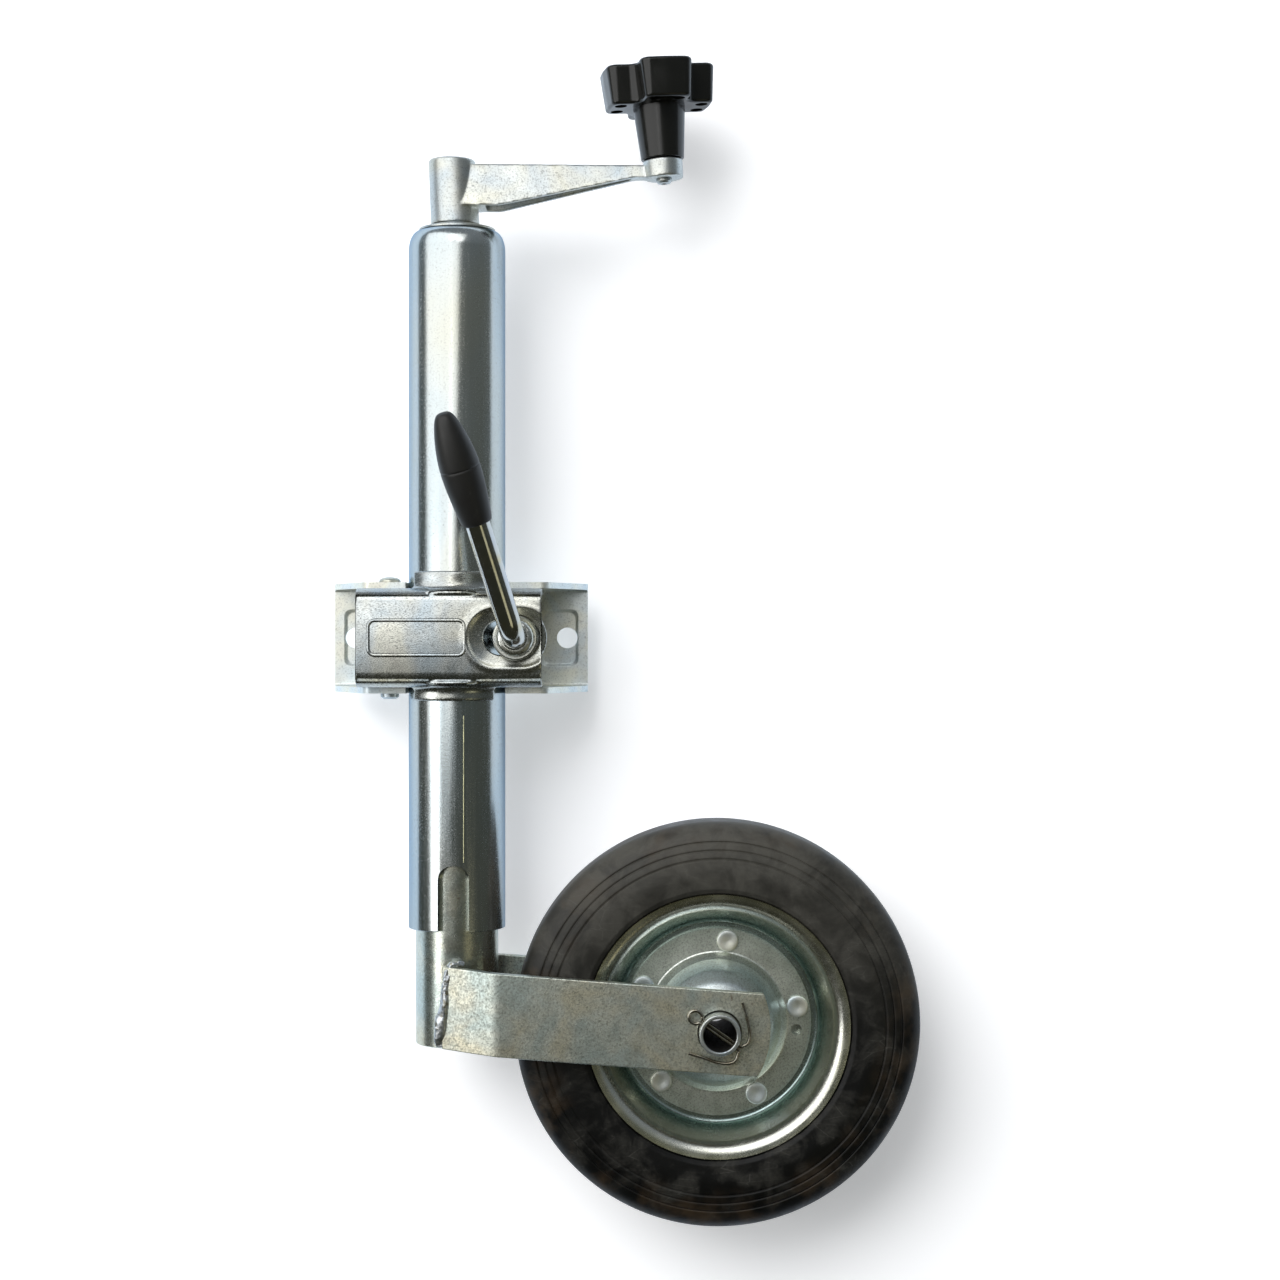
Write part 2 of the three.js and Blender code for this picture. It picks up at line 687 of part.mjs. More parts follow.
// Cuts the rivet holes and the small drain hole through a pressing of the wheel, which may be
// assembled turned by whole rivet spacings.
function punched(pressing, turn) {
  const angle = degrees(drain.angle + turn);
  const holes = [circle(drain.at * Math.cos(angle), drain.at * Math.sin(angle), drain.r, 8)];
  for (let i = 0; i < rivet.count; i += 1) {
    holes.push(circle(...rivetPlace(i), rivet.hole, 8));
  }
  return holes.reduce((solid, hole) => solid.subtract(plateXZ(hole, 0, 6)), pressing);
}

// Half of the pressed rim, on the +Y side: flat flange, well, bead seat and lip.
function rimHalf(turn) {
  const midLine = [[36.5, 1.05], [50.5, 1.05], [53.6, 2.4], [57.4, 14.5], [59.4, 18.8], [64.4, 20.8]];
  return punched(spun(sheetOutline(midLine, rimSheet)), turn);
}

// The drawn hub disc, on the +Y side: a flat rim and a bell towards the hub's end.
function hubDisc(turn) {
  const bell = [[31, 5.5], [26.5, 15.5], [21.5, 22], [14.1, 26.6]];
  const midLine = [[46.6, discFace], [34.5, discFace], ...bell];
  return punched(spun(sheetOutline(midLine, discSheet)), turn);
}

function rimRivet() {
  const face = discFace + discSheet / 2 + GAP;
  const head = [
    [rivet.headR, face],
    [rivet.headR, face + rivet.head * 0.4],
    [rivet.headR * 0.6, face + rivet.head],
    [0, face + rivet.head],
  ];
  const half = [[rivet.r, face], ...head];
  return spun([...mirroredY(half).reverse(), ...half], 8);
}

function mirrorY(solid) {
  const geometry = geometryOf(solid);
  return solidOf(geometry.scale(1, -1, 1));
}

// ---- Assembly ----

const clampBase = new THREE.Group();
clampBase.add(
  piece('clamp_bracket', clampBracket(), zinc),
  piece('clamp_hinge_pin', clampHingePin(), zinc),
  piece('clamp_nut', clampWeldNut(), steel),
);

const jawGroup = new THREE.Group();
jawGroup.add(piece('clamp_jaw', clampJaw(), zinc));

const leverGroup = new THREE.Group();
leverGroup.position.x = lever.x;
const gripPiece = piece('lever_grip', leverGrip(), plastic);
gripPiece.position.y = lever.corner;
gripPiece.quaternion.setFromUnitVectors(new THREE.Vector3(0, 1, 0), leverWay);
leverGroup.add(
  piece('lever_washer', leverSeatWasher(), zinc),
  piece('lever_collar', leverStopCollar(), zinc),
  piece('lever_rod', leverRod(), zinc),
  gripPiece,
);

const jackGroup = new THREE.Group();
jackGroup.add(
  piece('outer_tube', outerTube(), zinc),
  piece('top_bush', topBush(), steel),
  piece('bearing_race_upper', race(bearing.middle + bearing.ballR + GAP), steel),
  piece('ball_cage', ballCage(), steel),
  piece('bearing_race_lower', race(bearing.middle - bearing.ballR - GAP - bearing.race), steel),
  piece('spindle', screwSpindle(), steel),
  piece('spindle_nut', spindleNut(), steel),
  piece('inner_tube', innerTube(), dullZinc),
  piece('dust_cap', dustCap(), zinc),
);

const crankGroup = new THREE.Group();
const knobPiece = piece('crank_knob', crankKnob(), plastic);
const pivotPiece = piece('knob_pin', pivotPin(), zinc);
knobPiece.applyMatrix4(knobFrame());
pivotPiece.applyMatrix4(knobFrame());
crankGroup.add(
  piece('crank_arm', crankArm(), zinc),
  piece('crank_pin', crankPin(), steel),
  pivotPiece,
  knobPiece,
);

const forkGroup = new THREE.Group();
forkGroup.add(
  piece('fork_arm_front', forkArm(forkPlan()), dullZinc),
  piece('fork_arm_rear', forkArm(mirroredY(forkPlan())), dullZinc),
);

const wheelGroup = new THREE.Group();
wheelGroup.position.set(wheel.x, 0, wheel.z);
const sleeveWall = rectangle(sleeve.bore, sleeve.r, -sleeve.half, sleeve.half);
wheelGroup.add(
  piece('axle_tube', axleTube(), zinc),
  piece('tyre', solidTyre(), rubber),
  piece('hub_sleeve', spun(sleeveWall, SMALL_SIDES), steel),
);
for (const [name, side, turn] of [['front', -1, 0], ['rear', 1, 360 / rivet.count]]) {
  const rim = side > 0 ? rimHalf(turn) : mirrorY(rimHalf(turn));
  const disc = side > 0 ? hubDisc(turn) : mirrorY(hubDisc(turn));
  const washer = side > 0 ? ring(axleWasher) : mirrorY(ring(axleWasher));
  const pin = piece(`cotter_pin_${name}`, splitPin(), zinc);
  pin.position.y = side * axle.pinAt;
  wheelGroup.add(
    piece(`rim_half_${name}`, rim, zinc),
    piece(`hub_disc_${name}`, disc, zinc),
    piece(`axle_washer_${name}`, washer, bronze),
    pin,
  );
}
for (let i = 0; i < rivet.count; i += 1) {
  const [x, z] = rivetPlace(i);
  const rivetPiece = piece(`rim_rivet_${i + 1}`, rimRivet(), zinc);
  rivetPiece.position.set(x, 0, z);
  wheelGroup.add(rivetPiece);
}

const tubeAxis = new THREE.Group();
tubeAxis.position.y = -AXIS_DEPTH;
tubeAxis.add(clampBase, jawGroup, leverGroup, jackGroup, crankGroup, forkGroup, wheelGroup);

const tongueJack = new THREE.Group();
tongueJack.name = 'trailer_tongue_jack';
tongueJack.add(tubeAxis);

export default tongueJack;
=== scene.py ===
import math
import random

import bmesh
import bpy
from mathutils import Matrix, Vector, noise

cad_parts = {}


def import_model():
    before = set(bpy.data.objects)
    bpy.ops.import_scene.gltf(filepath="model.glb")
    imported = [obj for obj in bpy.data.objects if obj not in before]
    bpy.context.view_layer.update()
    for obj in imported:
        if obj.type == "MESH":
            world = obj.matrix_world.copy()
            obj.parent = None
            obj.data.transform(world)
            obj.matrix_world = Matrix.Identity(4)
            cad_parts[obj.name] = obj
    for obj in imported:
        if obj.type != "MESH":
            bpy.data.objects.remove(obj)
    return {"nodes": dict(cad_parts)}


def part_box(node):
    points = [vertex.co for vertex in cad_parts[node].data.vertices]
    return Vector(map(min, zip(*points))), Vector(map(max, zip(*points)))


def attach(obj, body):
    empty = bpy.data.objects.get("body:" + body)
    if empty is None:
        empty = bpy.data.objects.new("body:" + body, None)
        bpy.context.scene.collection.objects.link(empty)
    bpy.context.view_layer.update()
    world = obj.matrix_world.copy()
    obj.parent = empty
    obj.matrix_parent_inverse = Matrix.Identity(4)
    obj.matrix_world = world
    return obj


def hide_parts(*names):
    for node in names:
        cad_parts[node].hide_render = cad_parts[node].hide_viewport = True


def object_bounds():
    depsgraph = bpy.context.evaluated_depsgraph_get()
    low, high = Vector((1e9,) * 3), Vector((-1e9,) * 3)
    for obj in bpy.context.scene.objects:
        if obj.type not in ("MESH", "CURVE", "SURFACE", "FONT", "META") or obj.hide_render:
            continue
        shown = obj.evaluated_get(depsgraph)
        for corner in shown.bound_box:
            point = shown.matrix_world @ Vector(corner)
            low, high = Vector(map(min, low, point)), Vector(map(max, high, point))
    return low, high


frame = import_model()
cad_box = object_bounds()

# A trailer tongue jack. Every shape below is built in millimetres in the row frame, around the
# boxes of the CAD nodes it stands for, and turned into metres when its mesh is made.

MM = 0.001
SMOOTH_UNDER = math.radians(32)


# ---- Places from the frame ----


class NodeBox:
    """The box of a CAD node at rest, in millimetres."""

    def __init__(self, node):
        low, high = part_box(node)
        self.low = low / MM
        self.high = high / MM
        self.centre = (self.low + self.high) / 2
        self.size = self.high - self.low


tube = NodeBox("outer_tube")
inner = NodeBox("inner_tube")
cap_box = NodeBox("dust_cap")
bracket_box = NodeBox("clamp_bracket")
jaw_box = NodeBox("clamp_jaw")
hinge_box = NodeBox("clamp_hinge_pin")
washer_box = NodeBox("lever_washer")
collar_box = NodeBox("lever_collar")
axle_box = NodeBox("axle_tube")

# Each is a point on a line that pieces are turned about.
AXIS = Vector((tube.centre.x, tube.centre.y, 0))
HINGE = Vector((hinge_box.centre.x, hinge_box.centre.y, 0))
KNOB = Vector((AXIS.x + 102.8, AXIS.y, 0))
LEVER = Vector((washer_box.centre.x, 0, 0))
WHEEL = NodeBox("tyre").centre
HUB_LINE = Vector((WHEEL.x, 0, WHEEL.z))


# ---- Outlines ----


def arc(x, y, rx, ry, start, end, steps):
    """Points of an elliptical arc, angles in degrees."""
    points = []
    for i in range(steps + 1):
        angle = math.radians(start + (end - start) * i / steps)
        points.append((x + rx * math.cos(angle), y + ry * math.sin(angle)))
    return points


def circle(x, y, r, sides=48):
    return arc(x, y, r, r, 0, 360 - 360 / sides, sides - 1)


def rounded(corners, steps=6, closed=True):
    """A line through corners (x, y, radius), with each corner rounded to its radius."""
    points = []
    count = len(corners)
    for i, corner in enumerate(corners):
        here = Vector(corner[:2])
        r = corner[2] if len(corner) > 2 else 0
        if r == 0 or (not closed and i in (0, count - 1)):
            points.append(tuple(here))
            continue
        back = (Vector(corners[i - 1][:2]) - here).normalized()
        ahead = (Vector(corners[(i + 1) % count][:2]) - here).normalized()
        half = back.angle(ahead) / 2
        if abs(half - math.pi / 2) < 1e-4:
            points.append(tuple(here))
            continue
        centre = here + (back + ahead).normalized() * (r / math.sin(half))
        first = here + back * (r / math.tan(half)) - centre
        last = here + ahead * (r / math.tan(half)) - centre
        start = math.atan2(first.y, first.x)
        turn = (math.atan2(last.y, last.x) - start + math.pi) % (2 * math.pi) - math.pi
        for k in range(steps + 1):
            angle = start + turn * k / steps
            points.append((centre.x + r * math.cos(angle), centre.y + r * math.sin(angle)))
    return points


def sheet_outline(mid_line, thickness):
    """The closed outline of a sheet, from its mid line."""
    left, right = [], []
    for i, point in enumerate(mid_line):
        before = Vector(mid_line[max(i - 1, 0)])
        after = Vector(mid_line[min(i + 1, len(mid_line) - 1)])
        along = (after - before).normalized()
        side = Vector((-along.y, along.x)) * thickness / 2
        left.append(tuple(Vector(point) + side))
        right.append(tuple(Vector(point) - side))
    return left + right[::-1]


def offset(points, dx, dy):
    return [(x + dx, y + dy) for x, y in points]


# ---- Meshes ----


def new_object(name, verts, faces):
    mesh = bpy.data.meshes.new(name)
    mesh.from_pydata([Vector(v) * MM for v in verts], [], faces)
    tidy_mesh(mesh)
    obj = bpy.data.objects.new(name, mesh)
    bpy.context.scene.collection.objects.link(obj)
    return obj


def tidy_mesh(mesh):
    """Merges double points and turns every face outwards."""
    bm = bmesh.new()
    bm.from_mesh(mesh)
    bmesh.ops.remove_doubles(bm, verts=bm.verts, dist=1e-7)
    bmesh.ops.recalc_face_normals(bm, faces=bm.faces)
    bm.to_mesh(mesh)
    bm.free()


AXES = {
    "X": lambda u, v, w: (w, u, v),
    "Y": lambda u, v, w: (u, w, v),
    "Z": lambda u, v, w: (u, v, w),
}


def lathe(name, profile, centre, axis="Z", segments=96, wobble=None):
    """Turns a closed profile of (radius, height) about an axis through centre."""
    place = AXES[axis]
    verts, faces, rings = [], [], []
    for r, h in profile:
        if r < 1e-6:
            rings.append([len(verts)])
            verts.append(Vector(place(0, 0, h)) + centre)
            continue
        rings.append(list(range(len(verts), len(verts) + segments)))
        for k in range(segments):
            angle = 2 * math.pi * k / segments
            radius = r + (wobble(angle, h) if wobble else 0)
            u, v = radius * math.cos(angle), radius * math.sin(angle)
            verts.append(Vector(place(u, v, h)) + centre)
    for i, ring in enumerate(rings):
        after = rings[(i + 1) % len(rings)]
        if len(ring) == 1 and len(after) == 1:
            continue
        for k in range(segments):
            a, b = ring[k % len(ring)], ring[(k + 1) % len(ring)]
            c, d = after[(k + 1) % len(after)], after[k % len(after)]
            face = [a] if a == b else [a, b]
            face += [c] if c == d else [c, d]
            faces.append(face)
    return new_object(name, verts, faces)


def prism(name, outline, low, high, axis="Z"):
    """Extrudes an outline along an axis, between two heights."""
    place = AXES[axis]
    count = len(outline)
    verts = [place(x, y, low) for x, y in outline] + [place(x, y, high) for x, y in outline]
    sides = [[i, (i + 1) % count, (i + 1) % count + count, i + count] for i in range(count)]
    faces = [list(range(count))[::-1], list(range(count, 2 * count))] + sides
    return new_object(name, verts, faces)


def block(name, low, high):
    outline = [(low[0], low[1]), (high[0], low[1]), (high[0], high[1]), (low[0], high[1])]
    return prism(name, outline, low[2], high[2])


def loft(name, rings):
    """A solid through rings of the same number of points."""
    count = len(rings[0])
    verts = [point for ring in rings for point in ring]
    faces = [list(range(count))[::-1], list(range((len(rings) - 1) * count, len(rings) * count))]
    for i in range(len(rings) - 1):
        for k in range(count):
            a, b = i * count + k, i * count + (k + 1) % count
            faces.append([a, b, b + count, a + count])
    return new_object(name, verts, faces)


def sweep(name, path, radius, sides=16):
    """A rod along a path. radius is a number, or a function of the path's fraction and angle."""
    points = [Vector(p) for p in path]
    last = len(points) - 1
    ends = [(points[min(i + 1, last)], points[max(i - 1, 0)]) for i in range(last + 1)]
    tangents = [(after - before).normalized() for after, before in ends]
    normal = tangents[0].orthogonal().normalized()
    verts, faces = [], []
    for i, (point, tangent) in enumerate(zip(points, tangents)):
        normal = (normal - tangent * normal.dot(tangent)).normalized()
        across = tangent.cross(normal)
        for k in range(sides):
            angle = 2 * math.pi * k / sides
            r = radius(i / last, angle) if callable(radius) else radius
            verts.append(point + (normal * math.cos(angle) + across * math.sin(angle)) * r)
    for i in range(last):
        for k in range(sides):
            a, b = i * sides + k, i * sides + (k + 1) % sides
            faces.append([a, b, b + sides, a + sides])
    faces.append(list(range(sides))[::-1])
    faces.append(list(range(last * sides, (last + 1) * sides)))
    return new_object(name, verts, faces)


def apply_modifiers(obj):
    graph = bpy.context.evaluated_depsgraph_get()
    mesh = bpy.data.meshes.new_from_object(obj.evaluated_get(graph))
    old = obj.data
    obj.modifiers.clear()
    obj.data = mesh
    bpy.data.meshes.remove(old)


def combine(obj, others, operation):
    """Joins or cuts obj with other objects, which are used up."""
    for other in others:
        modifier = obj.modifiers.new("combine", "BOOLEAN")
        modifier.operation = operation
        modifier.solver = "EXACT"
        modifier.object = other
    apply_modifiers(obj)
    for other in others:
        bpy.data.objects.remove(other)
    return obj


def cut(obj, *others):
    return combine(obj, others, "DIFFERENCE")


def join(obj, *others):
    return combine(obj, others, "UNION")


def common(obj, *others):
    return combine(obj, others, "INTERSECT")


def soften(obj, width, segments=3, angle=35):
    """Rounds every edge sharper than an angle."""
    bevel = obj.modifiers.new("soften", "BEVEL")
    bevel.width = width * MM
    bevel.segments = segments
    bevel.limit_method = "ANGLE"
    bevel.angle_limit = math.radians(angle)
    bevel.use_clamp_overlap = True
    bevel.miter_outer = "MITER_ARC"
    apply_modifiers(obj)
    return obj


def cast(obj, voxel, rounds, factor=0.5):
    """Blends a joined shape into one skin with the small fillets of a casting or pressing."""
    remesh = obj.modifiers.new("skin", "REMESH")
    remesh.mode = "VOXEL"
    remesh.voxel_size = voxel * MM
    smooth = obj.modifiers.new("fillets", "SMOOTH")
    smooth.factor = factor
    smooth.iterations = rounds
    apply_modifiers(obj)
    return obj


def finished(obj, material, body, slot, *nodes, weighted=True):
    """Gives a piece its shading, material and body, and hides the CAD nodes it stands for. The slot
    is not used.
    """
    mesh = obj.data
    mesh.polygons.foreach_set("use_smooth", [True] * len(mesh.polygons))
    mesh.set_sharp_from_angle(angle=SMOOTH_UNDER)
    mesh.materials.clear()
    mesh.materials.append(MATERIALS[material])
    if weighted:
        normals = obj.modifiers.new("flat_faces", "WEIGHTED_NORMAL")
        normals.keep_sharp = True
    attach(obj, body)
    if nodes:
        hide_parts(*nodes)
    return obj


# ---- Materials ----


class Nodes:
    """Short calls for building a node tree."""

    def __init__(self, tree):
        self.tree = tree

    def node(self, kind, links=(), **settings):
        made = self.tree.nodes.new(kind)
        for key, value in settings.items():
            setattr(made, key, value)
        for socket, source in dict(links).items():
            self.feed(made.inputs[socket], source)
        return made

    def feed(self, socket, source):
        if isinstance(source, bpy.types.NodeSocket):
            self.tree.links.new(source, socket)
        else:
            socket.default_value = source

    def remap(self, value, low, high, to_low=0.0, to_high=1.0):
        limits = {"From Min": low, "From Max": high, "To Min": to_low, "To Max": to_high}
        return self.node("ShaderNodeMapRange", {"Value": value, **limits}).outputs["Result"]

    def ramp(self, value, *stops, bright=1.0):
        made = self.node("ShaderNodeValToRGB", {"Fac": value})
        elements = made.color_ramp.elements
        while len(elements) < len(stops):
            elements.new(0.5)
        for element, (position, colour) in zip(elements, stops):
            element.position = position
            element.color = (*[bright * part for part in colour], 1)
        return made.outputs["Color"]

    def split(self, output, factor, first, second):
        """Sends two shaders to the output, shared by a factor."""
        mixed = self.node("ShaderNodeMixShader", {0: factor, 1: first, 2: second})
        self.feed(self.tree.nodes[output].inputs["Surface"], mixed.outputs["Shader"])


class Shader(Nodes):
    """A Principled material. Sizes are in millimetres."""

    def __init__(self, name, metallic=0.0, **values):
        self.material = bpy.data.materials.new(name)
        self.material.use_nodes = True
        super().__init__(self.material.node_tree)
        self.surface = self.tree.nodes["Principled BSDF"]
        self.surface.inputs["Metallic"].default_value = metallic
        for key, value in values.items():
            self.surface.inputs[key.replace("_", " ")].default_value = value
        self.place = self.node("ShaderNodeTexCoord").outputs["Object"]

    def stretched(self, stretch):
        mapping = self.node("ShaderNodeMapping", {"Vector": self.place, "Scale": stretch})
        return mapping.outputs["Vector"]

    def noise(self, size, detail=3.0, rough=0.55, stretch=None, distortion=0.0):
        place = self.stretched(stretch) if stretch else self.place
        links = {"Vector": place, "Scale": 1000 / size, "Detail": detail, "Roughness": rough}
        made = self.node("ShaderNodeTexNoise", links)
        made.inputs["Distortion"].default_value = distortion
        return made.outputs["Fac"]

    def cracks(self, size, stretch):
        """Distance from a net of straight lines."""
        links = {"Vector": self.stretched(stretch), "Scale": 1000 / size}
        made = self.node("ShaderNodeTexVoronoi", links, feature="DISTANCE_TO_EDGE")
        return made.outputs["Distance"]

    def spread(self, value, low, high):
        """Stretches the middle of a noise to a range."""
        return self.remap(value, 0.3, 0.7, low, high)

    def plus(self, value, other, share):
        """A value with a share of another added."""
        return self.calc("ADD", value, self.calc("MULTIPLY", other, share))

    def blend(self, factor, first, second, mode="MIX"):
        made = self.node("ShaderNodeMix", data_type="RGBA", blend_type=mode)
        sockets = {s.identifier: s for s in made.inputs}
        self.feed(sockets["Factor_Float"], factor)
        self.feed(sockets["A_Color"], first)
        self.feed(sockets["B_Color"], second)
        return next(s for s in made.outputs if s.identifier == "Result_Color")

    def calc(self, operation, first, second=0.0):
        made = self.node("ShaderNodeMath", operation=operation)
        self.feed(made.inputs[0], first)
        self.feed(made.inputs[1], second)
        return made.outputs["Value"]

    def radius(self, centre, axis="Y"):
        """Distance in millimetres from an axis through a point."""
        links = {0: self.place, 1: tuple(centre * MM)}
        away = self.node("ShaderNodeVectorMath", links, operation="SUBTRACT")
        parts = self.node("ShaderNodeSeparateXYZ", {"Vector": away.outputs["Vector"]})
        squares = [self.calc("POWER", parts.outputs[k], 2.0) for k in "XYZ" if k != axis]
        return self.calc("MULTIPLY", self.calc("SQRT", self.calc("ADD", *squares)), 1 / MM)

    def bump(self, height, depth, strength=1.0, under=None):
        links = {"Height": height, "Distance": depth * MM, "Strength": strength}
        if under:
            links["Normal"] = under
        return self.node("ShaderNodeBump", links).outputs["Normal"]

    def finish(self, colour=None, roughness=None, normal=None):
        for key, source in (("Base Color", colour), ("Roughness", roughness), ("Normal", normal)):
            if source is not None:
                self.feed(self.surface.inputs[key], source)
        return self.material


DARK_PITS = (0.16, 0.16, 0.16, 1)
ROUND_GRAIN = (1, 1, 1)
ROLLED_GRAIN = (0.8, 1, 2)


def zinc_plate(name, low, high, depth, dark=0.25, bright=1.0, straw=0.45, grain=ROUND_GRAIN):
    """Bright zinc plate: blue and straw coloured clouds under a fine crystalline grain."""
    shader = Shader(name, metallic=1.0)
    clouds = shader.noise(26, 2.5, 0.5, distortion=0.6)
    stops = (
        (0.30, (0.52, 0.59, 0.63)),
        (0.46, (0.61, 0.64, 0.63)),
        (0.60, (0.66, 0.66, 0.59)),
        (0.74, (0.61, 0.60, straw)),
    )
    tint = shader.ramp(clouds, *stops, bright=bright)
    speckle = shader.noise(0.8, 3.0, 0.65, stretch=grain)
    pits = shader.remap(speckle, 0.5, 0.72, 0.0, dark)
    colour = shader.blend(pits, tint, DARK_PITS)
    smears = shader.noise(9, 4, 0.6)
    roughness = shader.plus(shader.spread(smears, low, high), pits, 0.5)
    waves = shader.bump(shader.noise(7, 1, 0.4), depth * 2)
    return shader.finish(colour, roughness, shader.bump(speckle, depth, under=waves))


def spun_zinc(name, low, high, bright, worn):
    """Bright zinc over spun sheet: rings of blue and yellow passivate, fine scratches."""
    shader = Shader(name, metallic=1.0)
    radius = shader.radius(WHEEL)
    drift = shader.calc("MULTIPLY", shader.noise(22, 2, 0.5), 5.0)
    rings = shader.remap(shader.calc("ADD", radius, drift), 14, 70)
    stops = (
        (0.05, (0.60, 0.62, 0.60)),
        (0.30, (0.50, 0.58, 0.60)),
        (0.42, (0.62, 0.64, 0.58)),
        (0.60, (0.48, 0.52, 0.46)),
        (0.69, (0.44, 0.56, 0.55)),
        (0.78, (0.66, 0.67, 0.60)),
        (0.88, (0.70, 0.70, 0.64)),
        (0.97, (0.62, 0.59, 0.38)),
    )
    tint = shader.ramp(rings, *stops, bright=bright)
    haze = shader.noise(0.7, 4, 0.7)
    marks = shader.remap(haze, 0.45, 0.72, 0.0, worn)
    colour = shader.blend(marks, tint, (0.17, 0.18, 0.15, 1))
    rough = shader.spread(shader.noise(12, 4, 0.6), low, high)
    rough = shader.plus(rough, shader.remap(haze, 0.5, 0.7), 0.1)
    return shader.finish(colour, rough, shader.bump(haze, worn * 0.06))


def drawn_tube():
    """Zinc plate over drawn tube: lines along the tube, faint blue cast, a few stains."""
    shader = Shader("zinc_drawn_tube", metallic=1.0)
    streaks = shader.noise(1.6, 3, 0.6, stretch=(1, 1, 0.04))
    clouds = shader.noise(30, 2.5, 0.5, stretch=(1, 1, 0.3), distortion=0.4)
    stops = ((0.3, (0.50, 0.57, 0.60)), (0.5, (0.58, 0.61, 0.60)), (0.7, (0.60, 0.60, 0.53)))
    tint = shader.ramp(clouds, *stops)
    speckle = shader.noise(0.9, 3, 0.65)
    pits = shader.remap(speckle, 0.55, 0.75, 0.0, 0.4)
    colour = shader.blend(pits, tint, DARK_PITS)
    roughness = shader.plus(shader.spread(streaks, 0.15, 0.24), pits, 0.4)
    shader.surface.inputs["Specular Tint"].default_value = (0.47, 0.58, 0.71, 1)
    fine = shader.bump(speckle, 0.02)
    normal = shader.bump(streaks, 0.012, under=fine)
    return shader.finish(colour, roughness, normal)


def dull_zinc(name, low, high, shade, grit):
    """Satin zinc over rolled steel: wrinkled dark grain, green and straw clouds, brown marks."""
    shader = Shader(name, metallic=1.0)
    clouds = shader.noise(24, 3, 0.55, distortion=0.5)
    stops = ((0.34, (0.62, 0.70, 0.66)), (0.5, (0.74, 0.76, 0.67)), (0.66, (0.78, 0.74, 0.58)))
    tint = shader.ramp(clouds, *stops, bright=shade)
    grain = shader.noise(1.1, 4, 0.7, distortion=0.6)
    specks = shader.remap(grain, 0.42, 0.66, 0.0, 0.8 * grit)
    colour = shader.blend(specks, tint, (0.09, 0.10, 0.07, 1))
    smears = shader.noise(6, 4, 0.65)
    colour = shader.blend(shader.remap(smears, 0.55, 0.8, 0.0, 0.35), colour, (0.17, 0.16, 0.12, 1))
    rust = shader.calc("MULTIPLY", shader.remap(shader.noise(6, 5, 0.7), 0.68, 0.76), 0.8)
    colour = shader.blend(rust, colour, (0.20, 0.11, 0.05, 1))
    roughness = shader.plus(shader.spread(smears, low, high), specks, 0.12)
    return shader.finish(colour, roughness, shader.bump(grain, 0.09 * grit))


def bore_shade():
    """Near black inside a bore, standing for the shade there: painted shade."""
    shader = Shader("painted_bore_shade")
    blotches = shader.noise(2.2, 4, 0.6)
    colour = shader.ramp(blotches, (0.35, (0.002, 0.002, 0.002)), (0.7, (0.012, 0.010, 0.008)))
    return shader.finish(colour, shader.spread(blotches, 0.6, 0.85), shader.bump(blotches, 0.2))


def pin_wire():
    """Half-round spring wire with a brown zinc film."""
    shader = Shader("pin_wire", metallic=1.0)
    clouds = shader.noise(4, 3, 0.6)
    stops = ((0.35, (0.44, 0.42, 0.36)), (0.55, (0.32, 0.29, 0.22)), (0.7, (0.22, 0.17, 0.11)))
    colour = shader.ramp(clouds, *stops)
    return shader.finish(colour, shader.spread(clouds, 0.16, 0.3), shader.bump(clouds, 0.05))


def chromed_rod():
    """Polished plated rod, almost a mirror, with faint straw coloured patches."""
    shader = Shader("polished_plate", metallic=1.0)
    clouds = shader.noise(14, 2, 0.5)
    stops = ((0.35, (0.56, 0.58, 0.60)), (0.6, (0.60, 0.60, 0.55)), (0.72, (0.60, 0.52, 0.30)))
    colour = shader.ramp(clouds, *stops)
    roughness = shader.remap(shader.noise(4, 4, 0.6), 0.35, 0.7, 0.08, 0.2)
    return shader.finish(colour, roughness, shader.bump(shader.noise(0.8, 2, 0.6), 0.003))


def bare_steel():
    """Turned steel with a thin film of grease."""
    shader = Shader("bare_steel", metallic=1.0)
    rings = shader.noise(0.7, 2, 0.6, stretch=(0.2, 0.2, 1.0))
    colour = shader.ramp(rings, (0.3, (0.33, 0.33, 0.33)), (0.7, (0.52, 0.51, 0.48)))
    return shader.finish(colour, shader.spread(rings, 0.25, 0.42), shader.bump(rings, 0.01))


def stained_steel():
    """Plain washer steel with brown surface rust."""
    shader = Shader("stained_steel", metallic=0.6)
    clouds = shader.noise(3, 4, 0.65)
    stops = ((0.35, (0.36, 0.30, 0.25)), (0.55, (0.35, 0.17, 0.09)), (0.7, (0.20, 0.09, 0.05)))
    colour = shader.ramp(clouds, *stops)
    return shader.finish(colour, shader.spread(clouds, 0.45, 0.8), shader.bump(clouds, 0.06))


def moulded_plastic(name, base, low, high, grain, depth):
    """Black moulded plastic with a worked-in sheen, fine grain and light scuffs."""
    shader = Shader(name)
    cloud = shader.noise(12, 3, 0.5)
    fine = shader.noise(grain, 3, 0.6)
    scuffs = shader.remap(shader.noise(3.5, 5, 0.7, stretch=(1, 1, 0.25)), 0.62, 0.74)
    worn = tuple(part * 2.6 + 0.01 for part in base)
    colour = shader.blend(shader.calc("MULTIPLY", scuffs, 0.5), (*base, 1), (*worn, 1))
    return shader.finish(colour, shader.spread(cloud, low, high), shader.bump(fine, depth))


